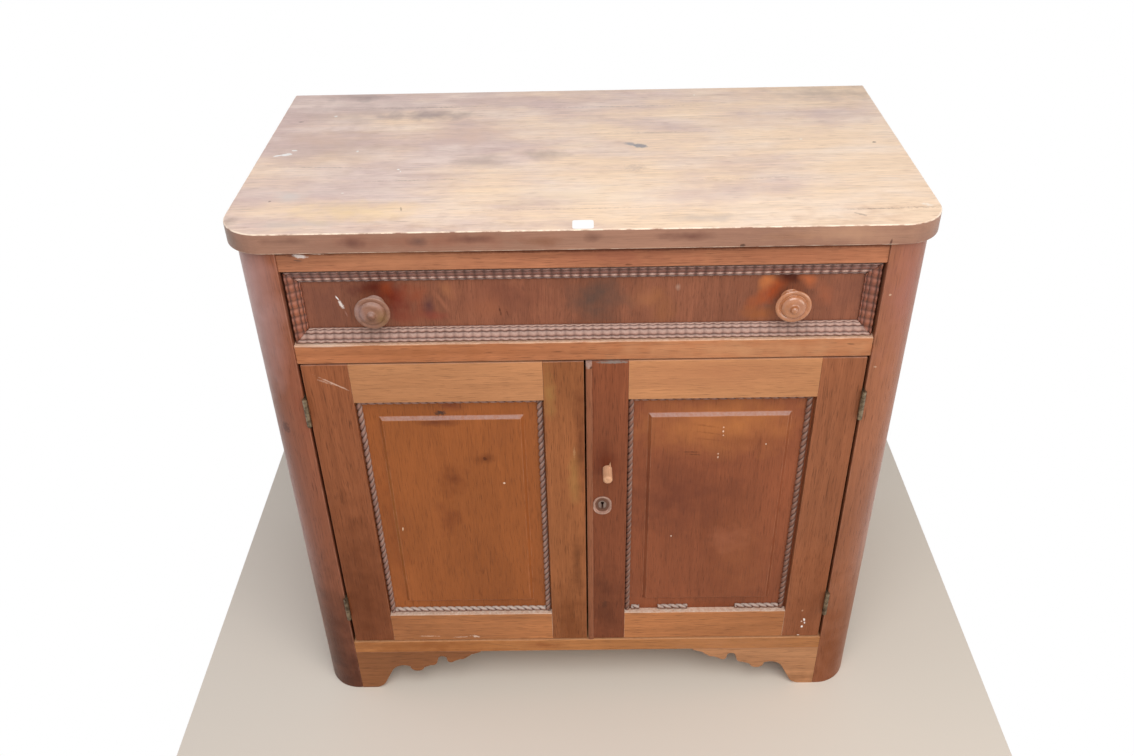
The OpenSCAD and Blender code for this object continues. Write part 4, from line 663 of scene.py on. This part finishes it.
# A mitred strip: x along it, z across it from the outer edge, y back from the rails' face. Cross
# is how dark the hollows across the ridges are, sway is how far the grooves wander and dirt is how dark each
# ridge is made, with dirt and with painted shade;
# below nothing it cakes pale dust on the ridge, beaded over the waves, which also stands for a painted
# highlight
def rippleStrip(length, seed, cross, sway, dirt, matrix):
    width, steps = ripple["width"], ripple["steps"]
    profile = []
    edge = 0.0
    for ridge, share in enumerate(ripple["ridges"]):
        for j in range(steps):
            t = j / steps
            across = edge + share * t
            dome = math.sin(math.pi * t) ** ripple["round"] if t else 0.0
            slope = ripple["outer"] + (ripple["inner"] - ripple["outer"]) * across
            profile.append((across * width, slope + ripple["groove"] * (1 - dome), dome, ridge))
        edge += share
    profile.append((width, ripple["inner"] + ripple["lip"], 0.0, ridge))
    bm = bmesh.new()
    groove = bm.verts.layers.float.new("groove")
    count = int(length / ripple["wave"] * ripple["perWave"])
    rows = []
    for i in range(count + 1):
        s = length * i / count
        line = [(0.0, ripple["back"], 0.0)]
        for w, d, dome, ridge in profile:
            phase = 2 * math.pi * s / ripple["wave"] + seed
            hollow = math.sin(phase)
            lift = hollow + ripple["uneven"] * noise.noise(Vector((s * 60, seed, ridge)))
            cakedDustAndHighlight = dome * (0.6 - 0.4 * hollow) if dirt[ridge] < 0 else 1
            pit = (1 - dome) * 0.95 + cross * max(0.0, hollow) ** 2
            pit = min(1.0, pit + dirt[ridge] * cakedDustAndHighlight)
            if 0 < w < width:
                w += sway * abs(math.sin(phase / 2 + ridge * 0.4))
            d += ripple["deep"] * lift * (0.35 + 0.65 * dome)
            line.append((w, max(d, ripple["least"]), pit))
        line.append((width, ripple["back"], 0.0))
        row = []
        for w, d, pit in line:
            vert = bm.verts.new(matrix @ Vector((min(max(s, w), length - w), d, w)))
            vert[groove] = pit
            row.append(vert)
        rows.append(row)
    for a, b in zip(rows, rows[1:]):
        for j in range(len(a)):
            k = (j + 1) % len(a)
            bm.faces.new((a[j], a[k], b[k], b[j])).smooth = True
    bmesh.ops.remove_doubles(bm, verts=bm.verts, dist=2e-6)
    bmesh.ops.dissolve_degenerate(bm, edges=bm.edges, dist=1e-6)
    bmesh.ops.recalc_face_normals(bm, faces=bm.faces)
    return bm


frontLow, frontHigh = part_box("drawer_front")
drawerX, drawerFoot, drawerHead = frontHigh[0], frontLow[2], frontHigh[2]
strip = rippleStrip(2 * drawerX, 0.3, 0.38, 0.0006, (0, 0, 0, 0),
                    Matrix.Translation((-drawerX, faceY, drawerFoot)))
addObject("drawer_bottom_ripple", strip, "rippleDusty", "drawer",
          ("drawer_bottom_moulding",))
flipped = Matrix.Translation((-drawerX, faceY, drawerHead)) @ Matrix.Diagonal((1, 1, -1, 1))
# Upper strip: outer and inner ridges darker as painted shade, the third ridge under caked dust that is also
# a painted highlight
strip = rippleStrip(2 * drawerX, 1.9, 0.55, 0.0006, (0.25, 0.1, -0.95, 0.5), flipped)
addObject("drawer_top_ripple", strip, "rippleDark", "drawer", ("drawer_top_moulding",))
ends = bmesh.new()
ends.verts.layers.float.new("groove")
for side in (-1, 1):
    upright = Matrix(((0, 0, -side, side * drawerX), (0, 1, 0, faceY), (1, 0, 0, drawerFoot),
                      (0, 0, 0, 1)))
    strip = rippleStrip(drawerHead - drawerFoot, 0.8 + side, 0.5, 0.0003, (0.3, 0.0, 0.1, 0.1), upright)
    joined = bpy.data.meshes.new("joined")
    strip.to_mesh(joined)
    strip.free()
    ends.from_mesh(joined)
    bpy.data.meshes.remove(joined)
addObject("drawer_end_ripples", ends, "rippleEnd", "drawer", ("drawer_end_mouldings",))
print("ripple mouldings made")

rope = {"radius": 0.0037, "twist": 0.0103, "strands": 2, "cut": 0.34, "sharp": 6, "sides": 24,
        "perTwist": 14, "seat": 0.009, "rise": 0.0009}


# A length of the twisted rope along z, its outside against x = 0, cut flat on the panel. Hand is
# which way it twists
def ropeLength(bm, length, matrix, seed, hand):
    radius = rope["radius"]
    groove = bm.verts.layers.float["groove"]
    rings = max(4, int(length / rope["twist"] * rope["perTwist"]))
    lines = []
    for i in range(rings + 1):
        z = length * i / rings
        line = []
        for j in range(rope["sides"]):
            angle = 2 * math.pi * j / rope["sides"]
            phase = z / rope["twist"] + seed + hand * rope["strands"] * angle / (2 * math.pi)
            cut = abs(math.cos(math.pi * phase)) ** rope["sharp"]
            r = radius * (1 - rope["cut"] * cut)
            x = radius + r * math.cos(angle)
            y = min(rope["seat"] - rope["rise"] - r * math.sin(angle), rope["seat"])
            vert = bm.verts.new(matrix @ Vector((x, y + faceY, z)))
            vert[groove] = cut
            line.append(vert)
        lines.append(line)
    for a, b in zip(lines, lines[1:]):
        for j in range(rope["sides"]):
            k = (j + 1) % rope["sides"]
            bm.faces.new((a[j], a[k], b[k], b[j])).smooth = True
    bm.faces.new(lines[0][::-1])
    bm.faces.new(lines[-1])


# Upright and level rope round a panel, in the places that the solid gives. The low shares are the
# parts of the lower rope that are left
def ropeFrame(name, body, material, x0, x1, lowShares):
    bm = bmesh.new()
    bm.verts.layers.float.new("groove")
    tall = panelHead - panelFoot
    ropeLength(bm, tall, Matrix.Translation((x0, 0, panelFoot)), 0.1, 1)
    mirrored = Matrix.Translation((x1, 0, panelFoot)) @ Matrix.Diagonal((-1, 1, 1, 1))
    ropeLength(bm, tall, mirrored, 0.4, -1)
    thick = 2 * rope["radius"]
    clear = x1 - x0 - 2 * thick
    for z, flip, shares in [(panelHead, -1, [(0, 1)]), (panelFoot, 1, lowShares)]:
        for low, high in shares:
            start = x0 + thick + low * clear
            level = Matrix(((0, 0, 1, start), (0, 1, 0, 0), (flip, 0, 0, z), (0, 0, 0, 1)))
            ropeLength(bm, (high - low) * clear, level, low * 3, -flip)
    bmesh.ops.recalc_face_normals(bm, faces=bm.faces)
    addObject(name + "_twist", bm, material, body, (name,))


brokenRope = [(0.01, 0.065), (0.19, 0.39), (0.71, 1)]
ropeLow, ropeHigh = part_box("left_door_rope")
ropeFrame("left_door_rope", "left_door", "ropeDusty", ropeLow[0], ropeHigh[0], [(0, 1)])
ropeLow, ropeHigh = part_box("right_door_rope")
ropeFrame("right_door_rope", "right_door", "ropeBrown", ropeLow[0], ropeHigh[0], brokenRope)
print("rope mouldings made")

# The profile is radius and height above the drawer's field, in millimetres
knob = {"x": 0.232, "z": 0.64825, "foot": 0.012, "turns": 72, "profile": [
    (0, -15), (6, -15), (6, 0), (11.2, 0), (11.5, 0.6), (11.5, 1.4), (11.1, 1.9), (10.5, 2.1),
    (10.8, 2.4), (11, 3), (10.7, 3.6), (9.8, 4), (8.4, 4.4), (7.4, 5.6), (7, 7.4), (7, 9.2),
    (7.4, 11), (8.8, 13.4), (11.4, 15.4), (14.8, 16.8), (17.6, 17.4), (18.9, 17.7), (19.6, 18.2),
    (20, 19), (19.9, 19.8), (19.3, 20.5), (18.2, 20.9), (16.8, 20.9), (15.5, 20.4), (14.6, 19.8),
    (14.2, 19.8), (14, 20.3), (13.8, 21.4), (13.3, 22.6), (12.3, 23.6), (11, 24.3), (9.4, 24.8),
    (7.8, 25), (6.4, 25.1), (5.5, 25.3), (5, 25.9), (4.7, 26.8), (4.4, 27.9), (4, 29),
    (3.3, 30), (2.2, 30.7), (1.1, 31), (0, 31)]}

# Each knob is its profile spun round
for side, name in ((-1, "left"), (1, "right")):
    turned = bmesh.new()
    verts = [turned.verts.new((r / 1000, 0, h / 1000)) for r, h in knob["profile"]]
    edges = [turned.edges.new(pair) for pair in zip(verts, verts[1:])]
    bmesh.ops.spin(turned, geom=verts + edges, cent=(0, 0, 0), axis=(0, 0, 1), angle=2 * math.pi,
                   steps=knob["turns"], use_merge=True, use_duplicate=False)
    bmesh.ops.remove_doubles(turned, verts=turned.verts, dist=1e-6)
    bmesh.ops.recalc_face_normals(turned, faces=turned.faces)
    for face in turned.faces:
        face.smooth = True
    stand = Matrix.Translation((side * knob["x"], faceY + knob["foot"], knob["z"]))
    bmesh.ops.transform(turned, matrix=stand @ Matrix.Rotation(math.pi / 2, 4, "X"), verts=turned.verts)
    addObject(name + "_knob_turned", turned, name + "KnobWood", "drawer", (name + "_knob",))

peg = {"x": 0.0285, "z": 0.412, "radius": 0.006, "proud": 0.022, "hole": 0.014, "sides": 22, "rings": 14,
       "fit": 0.995, "flats": 7, "whittled": 0.05, "endRound": 0.0022, "endShare": 0.55,
       "crowd": 1.6, "tip": (0.0038, -0.001, 0.0125),
       "root": [(0.0014, -0.0003, 0.0052), (0.0046, -0.0004, 0.004), (0.0032, -0.0024, 0.005)]}

# Peg whittled round, with flats and a rounded end
whittled = bmesh.new()
lines = []
length = peg["hole"] + peg["proud"]
for i in range(peg["rings"] + 1):
    h = length * (1 - (1 - i / peg["rings"]) ** peg["crowd"])
    left = length - h
    rounded = math.sqrt(max(0.0, 1 - max(0.0, 1 - left / peg["endRound"]) ** 2))
    line = []
    for j in range(peg["sides"]):
        angle = 2 * math.pi * j / peg["sides"]
        flat = 1 - peg["whittled"] * abs(math.sin(angle * peg["flats"] / 2 + 0.4)) * (h > peg["hole"])
        r = peg["radius"] * peg["fit"] * flat * (peg["endShare"] + (1 - peg["endShare"]) * rounded)
        line.append(whittled.verts.new((r * math.cos(angle), -h, r * math.sin(angle))))
    lines.append(line)
for a, b in zip(lines, lines[1:]):
    for j in range(peg["sides"]):
        k = (j + 1) % peg["sides"]
        whittled.faces.new((a[j], a[k], b[k], b[j])).smooth = True
whittled.faces.new(lines[0])
whittled.faces.new(lines[-1][::-1])
# A splinter stands up where the peg enters the door
mouth = Vector((0, -peg["hole"], 0))
tip = whittled.verts.new(Vector(peg["tip"]) + mouth)
root = [whittled.verts.new(Vector(p) + mouth) for p in peg["root"]]
for a, b in ((0, 1), (1, 2), (2, 0)):
    whittled.faces.new((root[a], root[b], tip))
whittled.faces.new(root[::-1])
bmesh.ops.recalc_face_normals(whittled, faces=whittled.faces)
bmesh.ops.translate(whittled, vec=(peg["x"], faceY + peg["hole"], peg["z"]), verts=whittled.verts)
addObject("handle_peg_whittled", whittled, "barePegWood", "right_door", ("handle_peg",))
print("knobs and peg made")

# Lamps give their power in watts, size, place and colour
studio = {"world": 0.42, "floor": "#e5dcd0", "floorLow": (-0.57, -2.6), "floorHigh": (0.577, 0.444),
          "aim": (0, -0.1, 0.45),
          "lamps": [("key", 24.0, 1.6, (0.1, -1.25, 1.95), "#ffffff"),
                    ("fill", 9.0, 1.2, (1.5, -1.3, 0.9), "#fff6ea"),
                    ("side", 2.2, 0.7, (-1.3, 0.1, 1.6), "#e6e9ff")]}

# Plain pale floor that ends a little behind the washstand
(x0, y0), (x1, y1) = studio["floorLow"], studio["floorHigh"]
ground = bpy.data.meshes.new("floor")
ground.from_pydata([(x0, y0, 0), (x1, y0, 0), (x1, y1, 0), (x0, y1, 0)], [], [(0, 1, 2, 3)])
floor = bpy.data.objects.new("floor", ground)
scene.collection.objects.link(floor)
mat, tree = newMaterial("paleFloor")
shader = addNode(tree, "BsdfPrincipled", {
    "Base Color": studio["floor"], "Roughness": 0.8, "Specular IOR Level": 0.2})
addNode(tree, "OutputMaterial", {"Surface": shader})
ground.materials.append(mat)

# White to the camera and in reflections, at a plain level as light
world = bpy.data.worlds.new("studio")
scene.world = world
world.use_nodes = True
world.node_tree.nodes.clear()
add = partial(addNode, world.node_tree)
path = add("LightPath").node.outputs
seen = add("Math", [path["Is Camera Ray"], path["Is Glossy Ray"]], operation="MAXIMUM")
seen = add("Math", [seen, path["Is Transmission Ray"]], operation="MAXIMUM")
lit = add("Background", {"Color": (1, 1, 1, 1), "Strength": studio["world"]})
white = add("Background", {"Color": (1, 1, 1, 1)})
add("OutputWorld", {"Surface": add("MixShader", [seen, lit, white])})

for name, power, size, place, colour in studio["lamps"]:
    lamp = bpy.data.lights.new(name, "AREA")
    lamp.shape = "DISK"
    lamp.size = size
    lamp.energy = power
    lamp.color = hexToLinear(colour)[:3]
    lampObject = bpy.data.objects.new(name, lamp)
    lampObject.location = place
    toAim = Vector(studio["aim"]) - Vector(place)
    lampObject.rotation_euler = toAim.to_track_quat("-Z", "Y").to_euler()
    lampObject.visible_camera = False
    scene.collection.objects.link(lampObject)

# Place in metres, angles in radians, lens and sensor in millimetres
camera = {"place": (-0.00359, -1.17439, 1.24984), "yaw": -0.0154, "pitch": 0.61763,
          "roll": -0.0234, "lens": 32.98, "sensor": 36}

yaw, pitch, roll = camera["yaw"], camera["pitch"], camera["roll"]
ahead = Vector((math.sin(yaw) * math.cos(pitch), math.cos(yaw) * math.cos(pitch), -math.sin(pitch)))
level = Vector((math.cos(yaw), -math.sin(yaw), 0))
upright = level.cross(ahead)
right = math.cos(roll) * level + math.sin(roll) * upright
up = -math.sin(roll) * level + math.cos(roll) * upright
eye = bpy.data.cameras.new("eye")
eye.lens = camera["lens"]
eye.sensor_width = camera["sensor"]
eye.sensor_fit = "HORIZONTAL"
eyeObject = bpy.data.objects.new("eye", eye)
turned = Matrix((right, up, -ahead)).transposed().to_4x4()
eyeObject.matrix_world = Matrix.Translation(camera["place"]) @ turned
scene.collection.objects.link(eyeObject)
scene.camera = eyeObject
scene.view_settings.view_transform = "Standard"

print("scene ready")
